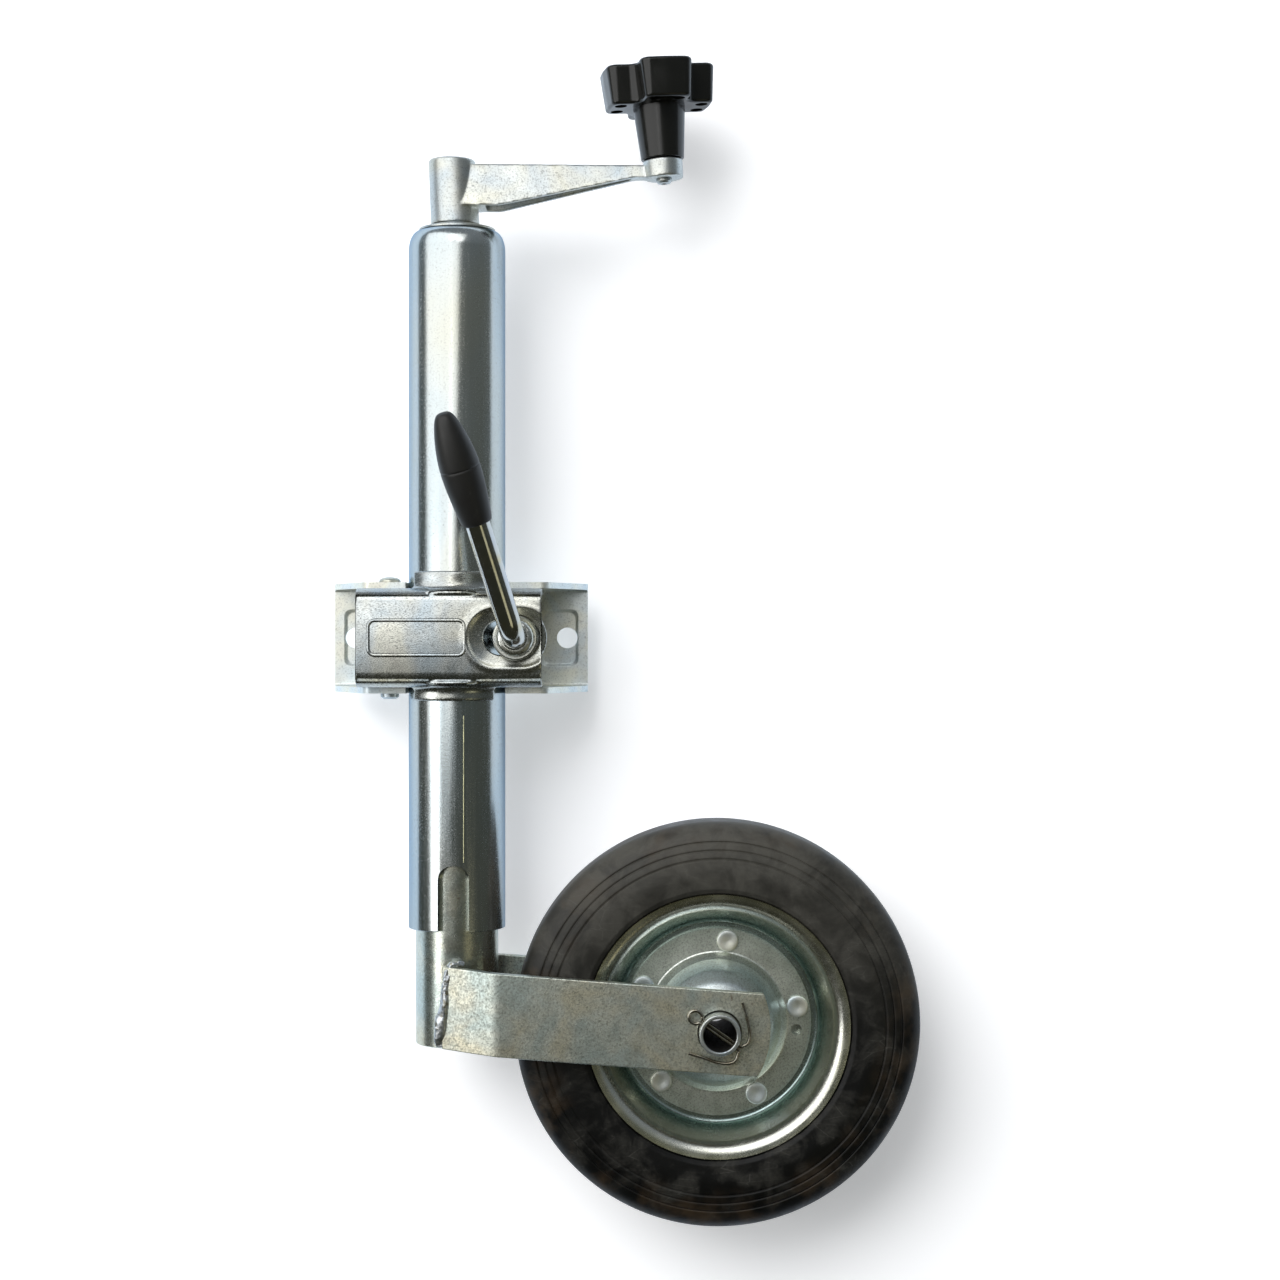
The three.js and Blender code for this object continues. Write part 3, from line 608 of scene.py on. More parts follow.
def tyre_rubber():
    """Solid rubber: dusty grey black, paler towards the top, part dust and part painted sheen,
    brown stains towards the tread, fine scuffs.
    """
    shader = Shader("tyre_rubber")
    radius = shader.radius(WHEEL)
    clouds = shader.noise(16, 5, 0.62, distortion=0.5)
    fine = shader.noise(1.4, 4, 0.6)
    shader.surface.inputs["Specular IOR Level"].default_value = 0.25
    flecks = shader.remap(fine, 0.25, 0.75, 0.4, 1.0)
    dust = shader.calc("MULTIPLY", shader.remap(clouds, 0.45, 0.64), flecks)
    colour = shader.blend(dust, (0.002, 0.002, 0.0018, 1), (0.026, 0.025, 0.0215, 1))
    patches = shader.remap(shader.noise(22, 4, 0.6), 0.48, 0.66)
    stain = shader.calc("MULTIPLY", shader.remap(radius, 76, 96), patches)
    colour = shader.blend(shader.calc("MULTIPLY", stain, 0.7), colour, (0.052, 0.034, 0.019, 1))
    # The top of the tyre is painted paler by height: part dust, and part painted sheen where the
    # light from above falls.
    height = shader.node("ShaderNodeSeparateXYZ", {"Vector": shader.place}).outputs["Z"]
    top_patches = shader.remap(clouds, 0.3, 0.6, 0.35, 0.9)
    top_dust_and_sheen = shader.calc("MULTIPLY", shader.remap(height, -0.2, -0.1), top_patches)
    colour = shader.blend(top_dust_and_sheen, colour, (0.066, 0.063, 0.054, 1))
    scratch = shader.cracks(9, (0.5, 1, 1.7))
    near = shader.remap(scratch, 0.0, 0.02, 1.0, 0.0)
    marks = shader.calc("MULTIPLY", near, shader.remap(clouds, 0.5, 0.6))
    colour = shader.blend(shader.calc("MULTIPLY", marks, 0.35), colour, (0.08, 0.078, 0.07, 1))
    roughness = shader.spread(clouds, 0.38, 0.62)
    normal = shader.bump(fine, 0.05, under=shader.bump(clouds, 0.15))
    return shader.finish(colour, roughness, normal)


def seam_metal():
    """The straw coloured burnish along the tube's seam."""
    shader = Shader("seam_metal", metallic=1.0)
    clouds = shader.noise(4, 3, 0.6)
    colour = shader.ramp(clouds, (0.35, (0.62, 0.60, 0.36)), (0.65, (0.42, 0.42, 0.28)))
    return shader.finish(colour, shader.spread(clouds, 0.25, 0.4))


def weld_metal():
    """Bare weld, grey in its hollows and bright on its lumps."""
    shader = Shader("weld_metal", metallic=1.0)
    lumps = shader.noise(2.4, 3, 0.6)
    stops = ((0.35, (0.34, 0.33, 0.27)), (0.52, (0.62, 0.66, 0.70)), (0.7, (0.84, 0.84, 0.80)))
    colour = shader.ramp(lumps, *stops)
    return shader.finish(colour, shader.spread(lumps, 0.3, 0.42), shader.bump(lumps, 0.35))


MATERIALS = {
    "tube": drawn_tube(),
    "plate": zinc_plate("zinc_plate", 0.2, 0.36, 0.012),
    # The jaw's copy is darkened by its bright factor and denser dark pits: painted shade.
    "pressed": zinc_plate(
        "zinc_pressed", 0.17, 0.27, 0.016, dark=0.65, bright=0.8, straw=0.54, grain=ROLLED_GRAIN
    ),
    "cast": zinc_plate("zinc_cast", 0.3, 0.42, 0.05, dark=0.5),
    # The rivet's copy is brightened by its bright factor: painted light.
    "rivet": zinc_plate("zinc_rivet", 0.38, 0.5, 0.05, dark=0.15, bright=1.5),
    "rim": spun_zinc("zinc_rim", 0.18, 0.3, bright=1.1, worn=0.4),
    # The disc's copy is brightened by its bright factor: painted light.
    "disc": spun_zinc("zinc_disc", 0.3, 0.42, bright=1.5, worn=0.75),
    # The bracket's copy is brightened by its bright factor: painted light.
    "bracket": zinc_plate("zinc_bracket", 0.46, 0.58, 0.03, dark=0.3, bright=1.5, straw=0.54),
    "wire": pin_wire(),
    "seam": seam_metal(),
    "bore_shade": bore_shade(),
    "fork": dull_zinc("zinc_fork", 0.32, 0.44, shade=1.1, grit=0.8),
    "inner": dull_zinc("zinc_inner_tube", 0.2, 0.3, shade=0.92, grit=0.4),
    "rod": chromed_rod(),
    "steel": bare_steel(),
    "stained": stained_steel(),
    "weld": weld_metal(),
    "knob": moulded_plastic("knob_plastic", (0.0055, 0.0055, 0.0045), 0.16, 0.27, 0.8, 0.008),
    "grip": moulded_plastic("grip_plastic", (0.009, 0.0088, 0.008), 0.42, 0.55, 0.5, 0.012),
    "rubber": tyre_rubber(),
}


# ---- Jack tube ----

TUBE_R = tube.size.x / 2
TUBE_WALL = 3
SHOULDER = 9.5
NOTCH_HALF = 7.65
NOTCH_TOP = -111.6
NOTCH_CORNER = 6.9
SEAM_X = 5.1
CAP_BORE = 8.4


def outer_tube():
    bottom, top = tube.low.z, tube.high.z
    bore = TUBE_R - TUBE_WALL
    profile = [(TUBE_R - 0.5, bottom), (TUBE_R - 0.12, bottom + 0.15), (TUBE_R, bottom + 0.6)]
    profile += arc(TUBE_R - 5, top - SHOULDER, 5, SHOULDER, 0, 88, 14)
    profile += [(16.4, top), (16.05, top - 0.3), (16, top - 3)]
    profile += arc(bore - 5, top - SHOULDER - 1, 5, 7.5, 90, 0, 6)
    profile += [(bore, bottom + 0.4), (bore + 0.4, bottom)]
    body = lathe("outer_tube_piece", profile, AXIS, segments=160)
    outline = rounded([
        (-NOTCH_HALF, bottom - 2),
        (NOTCH_HALF, bottom - 2),
        (NOTCH_HALF, NOTCH_TOP, NOTCH_CORNER),
        (-NOTCH_HALF, NOTCH_TOP, NOTCH_CORNER),
    ], 10)
    notch = prism("notch", outline, AXIS.y - 40, AXIS.y + 40, "Y")
    cut(body, notch)
    soften(body, 0.35, 2, 50)
    finished(body, "tube", "jack_tube", "zinc_bright", "outer_tube")
    tube_seam()


def tube_seam():
    """The tube's rolled seam, a faint line below the clamp."""
    y = AXIS.y - math.sqrt(TUBE_R ** 2 - SEAM_X ** 2) + 0.06
    path = [(AXIS.x + SEAM_X, y, z) for z in (-38, -60, -85, -109.8)]
    body = sweep("tube_seam_piece", path, 0.34, 10)
    finished(body, "seam", "jack_tube", "zinc_bright", weighted=False)


def inner_tube():
    r = inner.size.x / 2
    bore = r - 2.5
    low, high = inner.low.z, inner.high.z
    profile = [(r - 0.5, low), (r, low + 0.5), (r, high - 0.5), (r - 0.5, high)]
    profile += [(bore, high), (bore, low)]
    body = lathe("inner_tube_piece", profile, AXIS, segments=128)
    finished(body, "inner", "fork", "zinc_dull", "inner_tube")


def dust_cap():
    low, high = cap_box.low.z, cap_box.high.z
    r = cap_box.size.x / 2
    skirt = [(CAP_BORE, low), (r, low, 0.3), (r, low + 1.1, 0.5)]
    crown = [(13.2, high - 0.3, 2), (12.5, high, 0.2), (CAP_BORE, high)]
    body = lathe("dust_cap_piece", rounded(skirt + crown), AXIS)
    finished(body, "cast", "crank", "zinc_bright", "dust_cap")


# ---- Crank ----

HUB_FOOT = 205.7
HUB_TOP = 238
HUB_FOOT_R = 12.1
HUB_TOP_R = 11.6
HUB_FOOT_X = -0.9
HUB_LEAN = -1.7
HUB_BORE = 8.3
ARM_REACH = 102
ARM_TOP = 235
ARM_ROOT = 214
ARM_TIP = 228.6
ARM_ROOT_HALF = 11.5
ARM_TIP_HALF = 7.2
ARM_DRAFT = 0.2
BOSS_R = 9.8
BOSS_BORE = 3.5
CROSS_HOLE = 2.8
KNOB_PIN_R = 3.2
KNOB_LEAN = math.radians(-4)
LEAN_HEIGHT = 233


def leaned(obj):
    """Tips a piece made round the knob's upright axis back towards the hub."""
    at = Vector((KNOB.x, KNOB.y, LEAN_HEIGHT)) * MM
    turn = Matrix.Rotation(KNOB_LEAN, 4, "Y")
    obj.data.transform(Matrix.Translation(at) @ turn @ Matrix.Translation(-at))
    return obj


def arm_block(name, inset, start, end, low, high):
    """A block along the arm, narrowing towards the knob and upwards."""
    corners = []
    for x in (start, end):
        for z in (low, high):
            half = ARM_ROOT_HALF + (ARM_TIP_HALF - ARM_ROOT_HALF) * x / ARM_REACH
            half -= (z - ARM_ROOT) * ARM_DRAFT + inset
            corners += [(AXIS.x + x, AXIS.y - half, z), (AXIS.x + x, AXIS.y + half, z)]
    faces = [[0, 1, 3, 2], [4, 5, 7, 6], [0, 1, 5, 4], [2, 3, 7, 6], [0, 2, 6, 4], [1, 3, 7, 5]]
    return new_object(name, corners, faces)


def plug(name, centre, r, low, high, axis="Z", segments=48):
    """A round cutter."""
    return lathe(name, [(0, low), (r, low), (r, high), (0, high)], centre, axis, segments)


def crank_arm():
    foot = [(0, HUB_FOOT), (HUB_FOOT_R, HUB_FOOT, 0.4)]
    cone = rounded(foot + [(HUB_TOP_R, HUB_TOP, 1.2), (0, HUB_TOP)], 4, False)
    hub = lathe("crank_arm_piece", cone, AXIS)
    for vertex in hub.data.vertices:
        height = (vertex.co.z / MM - HUB_FOOT) / (HUB_TOP - HUB_FOOT)
        vertex.co.x += (HUB_FOOT_X + HUB_LEAN * height) * MM
    side = rounded([
        (0, ARM_ROOT),
        (22, ARM_ROOT, 8),
        (88.4, ARM_TIP, 12),
        (ARM_REACH, ARM_TIP),
        (ARM_REACH, ARM_TOP),
        (0, ARM_TOP),
    ])
    bar = prism("bar", side, AXIS.y - 20, AXIS.y + 20, "Y")
    common(bar, arm_block("sides", 0, 0, ARM_REACH, 200, 240))
    boss = [(0, ARM_TIP), (BOSS_R, ARM_TIP, 0.8), (BOSS_R, HUB_TOP, 0.8), (0, HUB_TOP)]
    join(hub, bar, leaned(lathe("boss", rounded(boss, 4, False), KNOB)))
    pocket = soften(arm_block("pocket", 2.8, 14.5, 86.5, 205, ARM_TOP - 4), 1, 3)
    cut(hub, pocket)
    cast(hub, 0.5, 4)
    bore = plug("bore", AXIS, HUB_BORE, 200, 240, segments=64)
    pin_bore = leaned(plug("pin_bore", KNOB, BOSS_BORE, 200, 240))
    at = Vector((0, 0, ARM_ROOT))
    cross = plug("cross", at, CROSS_HOLE, AXIS.y + 2, AXIS.y + 16, "Y", 32)
    cut(hub, bore, pin_bore, cross)
    finished(hub, "cast", "crank", "zinc_bright", "crank_arm", weighted=False)


def knob_pin():
    r = KNOB_PIN_R
    low, high = 226.2, 275.6
    under = ARM_TIP - 0.3
    head = [(0, low + 0.6), (1.4, low + 0.6), (1.9, low), (3.2, low + 0.2), (4, low + 1.2)]
    shank = [(4, under), (r, under), (r, high - 1), (r - 1, high), (0, high)]
    body = lathe("knob_pin_piece", head + shank, KNOB, segments=48)
    finished(leaned(body), "cast", "crank", "zinc_bright", "knob_pin")


LOBES = 4
LOBE_TURN = 11
LOBE_REACH = 27.6
LOBE_HALF = 13
KNOB_FOOT = 264.1
KNOB_TOP = 283.5
STEM_FOOT = 238.3


def lobe_angle(i):
    return math.radians(LOBE_TURN + 360 / LOBES * i)


def knob_outline(inset):
    """The knob's cross of blunt, slightly bowed lobes, drawn in by an inset."""
    corners = []
    reach, half = LOBE_REACH - inset, LOBE_HALF - inset
    for i in range(LOBES):
        turn = Matrix.Rotation(lobe_angle(i), 2)
        end = ((reach - 0.7, -half, 5 - inset), (reach, 0, 40), (reach - 0.7, half, 5 - inset))
        for x, y, r in (*end, (half, half, 4 + inset)):
            corners.append((*(turn @ Vector((x, y))), r))
    return offset(rounded(corners, 10), KNOB.x, KNOB.y)


def knob_levels():
    """Pairs of inset and height: rounded edges, and sides that taper towards the stem."""
    edge = 1.6
    draft = 1.5
    turns = [math.radians(angle) for angle in range(0, 91, 15)]
    low = [(draft + edge * (1 - math.sin(t)), KNOB_FOOT + edge * (1 - math.cos(t))) for t in turns]
    high = [(edge * (1 - math.cos(t)), KNOB_TOP - edge * (1 - math.sin(t))) for t in turns]
    return low + high


def crank_knob():
    rings = [[(x, y, z) for x, y in knob_outline(inset)] for inset, z in knob_levels()]
    body = loft("crank_knob_piece", rings)
    neck = KNOB_FOOT + 1.5
    cone = [(0, STEM_FOOT), (10.7, STEM_FOOT, 0.5), (13.1, neck), (0, neck)]
    join(body, lathe("stem", rounded(cone, 4, False), KNOB))
    pocket_wall = [(0, 260), (3.1, 260), (2.9, 277), (0, 277)]
    pockets = []
    for i in range(LOBES):
        turn = Matrix.Rotation(lobe_angle(i), 3, "Z")
        for side in (-5.8, 5.8):
            at = KNOB + turn @ Vector((20.4, side, 0))
            pockets.append(lathe("pocket", pocket_wall, at, segments=32))
    cut(body, *pockets, plug("bore", KNOB, BOSS_BORE, 230, 276))
    soften(body, 0.25, 2, 50)
    finished(leaned(body), "knob", "knob", "knob_plastic", "crank_knob")


# ---- Clamp ----

BRACKET_BEND = 4
BOLT_X = 54
BOLT_R = 5.25
COLLAR_R = 24.6
HINGE_HOLE = 4.3


def pad_outline(side, inset, y):
    """The edge of the pressed pad round a bolt hole."""
    low, high = sorted((side * (40 + inset), side * (59.9 - inset)))
    tall = 14.7 - inset
    corners = [(low, -tall, 3.5), (high, -tall, 3.5), (high, tall, 3.5), (low, tall, 3.5)]
    return [(x, y, z) for x, z in rounded(corners)]


def clamp_bracket():
    half, high = bracket_box.size.x / 2, bracket_box.size.z / 2
    back, front = bracket_box.high.y, bracket_box.low.y
    web = 3.5
    sheet = 3
    shoulder = 45
    section = rounded([
        (front, high),
        (back, high, BRACKET_BEND),
        (back, -high, BRACKET_BEND),
        (front, -high),
        (front, -high + sheet),
        (back - web, -high + sheet, BRACKET_BEND - sheet + 0.5),
        (back - web, high - sheet, BRACKET_BEND - sheet + 0.5),
        (front, high - sheet),
    ], 8)
    body = prism("clamp_bracket_piece", section, -half, half, "X")
    face = back - web
    plan = [(-half, back + 1), (-half, face), (-shoulder, front, 5)]
    plan += [(shoulder, front, 5), (half, face), (half, back + 1)]
    common(body, prism("plan", rounded(plan), -40, 40))
    way = arc(AXIS.x, AXIS.y, COLLAR_R, COLLAR_R, 0, 180, 64)
    way += [(-COLLAR_R, front - 2), (COLLAR_R, front - 2)]
    cuts = [prism("way", way, -40, 40), plug("hinge", HINGE, HINGE_HOLE, -40, 40)]
    for side in (-1, 1):
        hole = circle(side * BOLT_X, 0, BOLT_R, 64)
        cuts.append(prism("bolt", hole, back - 10, back + 2, "Y"))
    cut(body, *cuts)
    steps = ((0, -2), (0, 0), (0.35, 0.1), (1.4, 1.1), (1.9, 1.25))
    for side in (-1, 1):
        cut(body, loft("pad", [pad_outline(side, inset, face + y) for inset, y in steps]))
    soften(body, 0.4, 2, 40)
    finished(body, "bracket", "clamp_base", "zinc_bright", "clamp_bracket")


JAW_RIGHT = 43.3
JAW_HIGH = 24.2
JAW_SHEET = 3
JAW_BEND = 7
COLLAR_THICK = 2.8
COLLAR_SPREAD = math.radians(46)
DISH_REACH = 14.5
DISH_DEPTH = 2.1
LIP_AT = 15.2
SLOT_FROM = 23.3
SLOT_TO = 34
SLOT_R = 8.4
BEAD_R = 1.05


def jaw_collar(name, low, high, rim):
    """Half a collar round the tube, flaring out of the jaw's flange."""
    foot = 4.5
    r = COLLAR_R + COLLAR_THICK
    out = 1 if rim == high else -1
    base = low if rim == high else high
    flare = arc(r + foot, base + out * (foot + 1.5), foot, foot, 270 * out, 180 * out, 8)
    edge = [(r, rim - out * 0.6), (r - 0.5, rim), (COLLAR_R, rim)]
    ring = lathe(name, [(COLLAR_R, base), (r + foot, base)] + flare + edge, AXIS, segments=128)
    wide = 60 * math.tan(COLLAR_SPREAD)
    sector = offset([(0, 0), (-wide, -60), (wide, -60)], AXIS.x, AXIS.y)
    return common(ring, prism("sector", sector, -50, 50))


def stadium_distance(x, z):
    """Distance from the middle line of the jaw's slot."""
    nearest = min(max(x, SLOT_FROM - 2), SLOT_TO)
    return math.hypot(x - nearest, z)


def bow(x, z):
    """How far the jaw's face falls back from flat."""
    return 0.6 * ((x + 2) / 43) ** 2 + 0.8 * (z / 24) ** 2


def press_jaw(mesh, front):
    """Bows the jaw's face and draws a dish with a raised lip round the slot."""
    for vertex in mesh.vertices:
        x, y, z = vertex.co / MM
        if y > front + 1.2:
            continue
        away = stadium_distance(x, z)
        dish = DISH_DEPTH * max(0, 1 - (away / DISH_REACH) ** 2)
        lip = 0.5 * math.exp(-((away - LIP_AT) / 1.6) ** 2)
        vertex.co.y += (dish - lip + 0.7 + bow(x, z)) * MM


def jaw_bead():
    """A plain raised bead on the jaw's face, a rounded rectangle."""
    front = jaw_box.low.y + BEAD_R + 0.07
    line = rounded([(-41, -8.5, 3.4), (6, -8.5, 3.4), (6, 8.5, 3.4), (-41, 8.5, 3.4)])
    path = [(x, front + bow(x, z), z) for x, z in line + line[:2]]
    body = sweep("jaw_bead_piece", path, lambda t, _: BEAD_R + 0.05 * math.sin(40 * t))
    finished(body, "pressed", "jaw", "zinc_bright", weighted=False)


def clamp_jaw():
    front, back = jaw_box.low.y, jaw_box.high.y
    high = JAW_HIGH
    inside = high - JAW_SHEET
    lining = front + JAW_SHEET
    section = rounded([
        (back, high),
        (front, high, JAW_BEND),
        (front, -high, JAW_BEND),
        (back, -high),
        (back, -inside),
        (lining, -inside, JAW_BEND - JAW_SHEET),
        (lining, inside, JAW_BEND - JAW_SHEET),
        (back, inside),
    ], 10)
    body = prism("clamp_jaw_piece", section, jaw_box.low.x, JAW_RIGHT, "X")
    upper = jaw_collar("upper", inside, jaw_box.high.z, jaw_box.high.z)
    lower = jaw_collar("lower", jaw_box.low.z, -inside, jaw_box.low.z)
    pad = prism("pad", circle(LEVER.x, 0, 15.2, 96), front + 1.6, AXIS.y - 26.2, "Y")
    join(body, upper, lower, pad)
    way = arc(SLOT_TO, 0, SLOT_R, SLOT_R, -90, 90, 20)
    way += arc(SLOT_FROM, 0, SLOT_R, SLOT_R, 90, 270, 20)
    slot = prism("slot", way, front - 5, AXIS.y - 20, "Y")
    neck = plug("neck", AXIS, COLLAR_R, -40, 40, segments=128)
    behind = block("behind", (-COLLAR_R, AXIS.y, -40), (COLLAR_R, AXIS.y + 20, 40))
    cut(body, slot, neck, behind, plug("hinge", HINGE, HINGE_HOLE, -40, 40))
    cast(body, 0.5, 4)
    press_jaw(body.data, front)
    finished(body, "pressed", "jaw", "zinc_bright", "clamp_jaw", weighted=False)
    jaw_bead()


def hinge_pin():
    low, high = hinge_box.low.z, hinge_box.high.z
    over, under = 27.8, -27.8
    profile = [(0, low), (3.2, low), (4.6, low + 1), (4.6, under), (4, under), (4, over)]
    profile += [(5.4, over)] + arc(0, over + 0.5, 5.4, high - over - 0.5, 0, 90, 8)
    body = lathe("clamp_hinge_pin_piece", profile, HINGE, segments=48)
    finished(body, "cast", "clamp_base", "zinc_bright", "clamp_hinge_pin")


ROD_R = 5.8
ROD_BEND = 12
SEAT_BALL = 40
SEAT_CENTRE = AXIS.y - 69.1
LEVER_WAY = Vector((-0.2693, -0.3173, 0.9092)).normalized()
LEVER_CORNER = Vector((LEVER.x, AXIS.y - 47, 0))
GRIP_FROM = 59.5
GRIP_LENGTH = 55
GRIP_SEAM = 27.4


def lever_parts():
    """The dished washer on the jaw and the collar staked on the rod."""
    seat = [(r, SEAT_CENTRE + math.sqrt(SEAT_BALL ** 2 - r * r)) for r in (11, 9, 7.5, 6.4)]
    top = washer_box.low.y
    profile = [(6.4, top + 0.2), (6.8, top), (10.2, top), (10.8, top + 0.4), (11, top + 1)]
    washer = lathe("lever_washer_piece", profile + seat, LEVER, "Y")
    finished(washer, "plate", "lever_seat", "zinc_bright", "lever_washer")
    back, front = collar_box.high.y, collar_box.low.y
    profile = [(6.1, back), (8.7, back), (9, back - 0.3), (9, front + 1.6)]
    profile += [(8.4, front + 0.6), (7.4, front), (6.1, front)]

    def dents(angle, height):
        return 0.1 * noise.noise(Vector((angle * 4, height, 0)))

    collar = lathe("lever_collar_piece", profile, LEVER, "Y", wobble=dents)
    finished(collar, "plate", "lever", "zinc_bright", "lever_collar")


def lever_rod():
    into = Vector((0, -1, 0))
    turn = into.angle(LEVER_WAY)
    reach = ROD_BEND * math.tan(turn / 2)
    start = LEVER_CORNER - into * reach
    centre = start + (LEVER_WAY - into * into.dot(LEVER_WAY)).normalized() * ROD_BEND
    axis = into.cross(LEVER_WAY).normalized()
    path = [Vector((LEVER.x, AXIS.y + 25.5, 0)), start - into * 0.5]
    for i in range(17):
        path.append(centre + Matrix.Rotation(turn * i / 16, 3, axis) @ (start - centre))
    path += [LEVER_CORNER + LEVER_WAY * t for t in (reach + 0.5, 60, 100)]
    body = sweep("lever_rod_piece", path, ROD_R, 48)
    soften(body, 0.6, 3, 60)
    finished(body, "rod", "lever", "zinc_bright", "lever_rod")


def lever_grip():
    tip = [(0, 0), (2.6, 0.35), (4.1, 1.6), (5.4, 4.2), (6.6, 8), (7.85, 13), (8.9, 19)]
    girth = tip + [(9.5, 25), (9.6, 30), (9.3, 37), (8.6, 45), (7.9, 51), (7.35, 54.2)]
    profile = []
    for r, s in smooth_curve(girth + [(6.9, GRIP_LENGTH)], 8):
        seam = 0.28 * math.exp(-((s - GRIP_SEAM) / 0.28) ** 2)
        profile.append((max(r - seam, 0), GRIP_LENGTH - s))
    profile += [(6.1, 0), (6.1, 40), (0, 40)]
    body = lathe("lever_grip_piece", profile, Vector((0, 0, 0)), "Z", 64)
    turn = LEVER_WAY.to_track_quat("Z", "Y").to_matrix().to_4x4()
    foot = LEVER_CORNER + LEVER_WAY * GRIP_FROM
    body.data.transform(Matrix.Translation(foot * MM) @ turn)
    finished(body, "grip", "lever", "grip_plastic", "lever_grip", weighted=False)


def smooth_curve(points, steps):
    """A Catmull-Rom curve through points."""
    padded = [points[0]] + list(points) + [points[-1]]
    curve = []
    for i in range(len(points) - 1):
        p = [Vector(q) for q in padded[i:i + 4]]
        for k in range(steps):
            t = k / steps
            curve.append(tuple(0.5 * (
                2 * p[1]
                + (p[2] - p[0]) * t
                + (2 * p[0] - 5 * p[1] + 4 * p[2] - p[3]) * t ** 2
                + (3 * p[1] - p[0] - 3 * p[2] + p[3]) * t ** 3
            )))
    curve.append(tuple(points[-1]))
    return curve


# ---- Fork and axle ----

FORK_SHEET = 5
FORK_INSIDE = 32
TUBE_CLEAR = 20.8
FLARE = math.radians(23)
FORK_LEFT = -3.5
FORK_HALF = 20.1
FORK_TILT = math.radians(-4.3)
NOSE = 24.7
NOSE_FLAT = 20
AXLE_R = 10
AXLE_BORE = 8
AXLE_HOLE = 10.6
PIN_AT = 41.5
PIN_HOLE = 1.9
PIN_SLOPE = math.radians(35)


def fork_arm(side, name):
    sin, cos = math.sin(FLARE), math.cos(FLARE)
    far = TUBE_CLEAR + FORK_SHEET
    right = WHEEL.x + NOSE + 2
    wide = FORK_INSIDE + FORK_SHEET
    plan = [
        (FORK_LEFT, (TUBE_CLEAR + sin * FORK_LEFT) / cos),
        ((cos * FORK_INSIDE - TUBE_CLEAR) / sin, FORK_INSIDE, 8),
        (right, FORK_INSIDE),
        (right, wide),
        ((cos * wide - far) / sin, wide, 8 + FORK_SHEET),
        (FORK_LEFT - FORK_SHEET * sin, (far + sin * (FORK_LEFT - FORK_SHEET * sin)) / cos),
    ]
    outline = [(AXIS.x + x, AXIS.y + side * y) for x, y in rounded(plan, 8)]
    body = prism(f"fork_arm_{name}_piece", outline, -230, -140)
    rise = NOSE - NOSE_FLAT
    bow_r = (FORK_HALF ** 2 + rise ** 2) / (2 * rise)
    spread = math.degrees(math.asin(FORK_HALF / bow_r))
    end = arc(NOSE - bow_r, 0, bow_r, bow_r, -spread, spread, 24)
    bar = [(-145, -FORK_HALF)] + end + [(-145, FORK_HALF)]
    turn = Matrix.Rotation(FORK_TILT, 2)
    bar = [tuple(turn @ Vector(p) + Vector((WHEEL.x, WHEEL.z))) for p in bar]
    near, far = AXIS.y - 60, AXIS.y + 60
    common(body, prism("side", bar, near, far, "Y"))
    cut(body, prism("axle_hole", circle(WHEEL.x, WHEEL.z, AXLE_HOLE, 64), near, far, "Y"))
    soften(body, 0.55, 3, 40)
    finished(body, "fork", "fork", "zinc_dull", f"fork_arm_{name}")


def weld_bead(side, name):
    """A lumpy run of weld down the end of a fork arm, thin at first and fat at its foot."""
    way = smooth_curve([
        (5.5, 23.4, -159.4, 0.7),
        (2.5, 24.4, -158.9, 1.3),
        (-0.5, 25.3, -159.8, 1.7),
        (-2.4, 25.4, -163, 2.0),
        (-3.2, 25.3, -170, 2.5),
        (-3.7, 25.1, -179, 2.7),
        (-5.3, 24.2, -188, 3.5),
        (-6.4, 23.8, -195.5, 3.1),
        (-6.6, 23.5, -200, 1.8),
    ], 12)
    points = [(AXIS.x + x, AXIS.y + side * y, z) for x, y, z, _ in way]

    def radius(t, angle):
        ends = max(min(1, t / 0.03, (1 - t) / 0.03), 0.02)
        around = Vector((math.cos(angle), math.sin(angle), 0)) * 0.9
        lumps = 0.9 * noise.noise(around + Vector((0, side * 3, t * 11)))
        fine = 0.35 * noise.noise(around * 2.5 + Vector((5, side * 3, t * 34)))
        return (way[round(t * (len(way) - 1))][3] + lumps + fine) * math.sqrt(ends)

    body = sweep(f"weld_bead_{name}", points, radius, 28)
    finished(body, "weld", "fork", "zinc_bright", weighted=False)


def axle():
    half = axle_box.size.y / 2
    low, high = AXIS.y - half, AXIS.y + half
    profile = [(AXLE_BORE, low, 0.6), (AXLE_R, low, 0.7)]
    profile += [(AXLE_R, high, 0.7), (AXLE_BORE, high, 0.6)]
    body = lathe("axle_tube_piece", rounded(profile, 4), HUB_LINE, "Y")
    cuts = []
    for side in (-1, 1):
        hole = plug("hole", Vector((0, 0, 0)), PIN_HOLE, -20, 20, "X", 24)
        hole.data.transform(cotter_matrix(side))
        cuts.append(hole)
    cut(body, *cuts)
    soften(body, 0.2, 2, 50)
    finished(body, "cast", "fork", "zinc_bright", "axle_tube")
    # The inside of the bore gets the near black material: painted shade.
    body.data.materials.append(MATERIALS["bore_shade"])
    for face in body.data.polygons:
        x, y, z = face.center / MM
        inside = math.hypot(x - WHEEL.x, z - WHEEL.z) < AXLE_BORE + 0.1
        if inside and abs(y - AXIS.y) < half - 0.7:
            face.material_index = 1


def cotter_matrix(side):
    """Places a shape made along +X on the cotter's line through the axle."""
    at = Vector((WHEEL.x, AXIS.y + side * PIN_AT, WHEEL.z)) * MM
    return Matrix.Translation(at) @ Matrix.Rotation(PIN_SLOPE, 4, "Y")


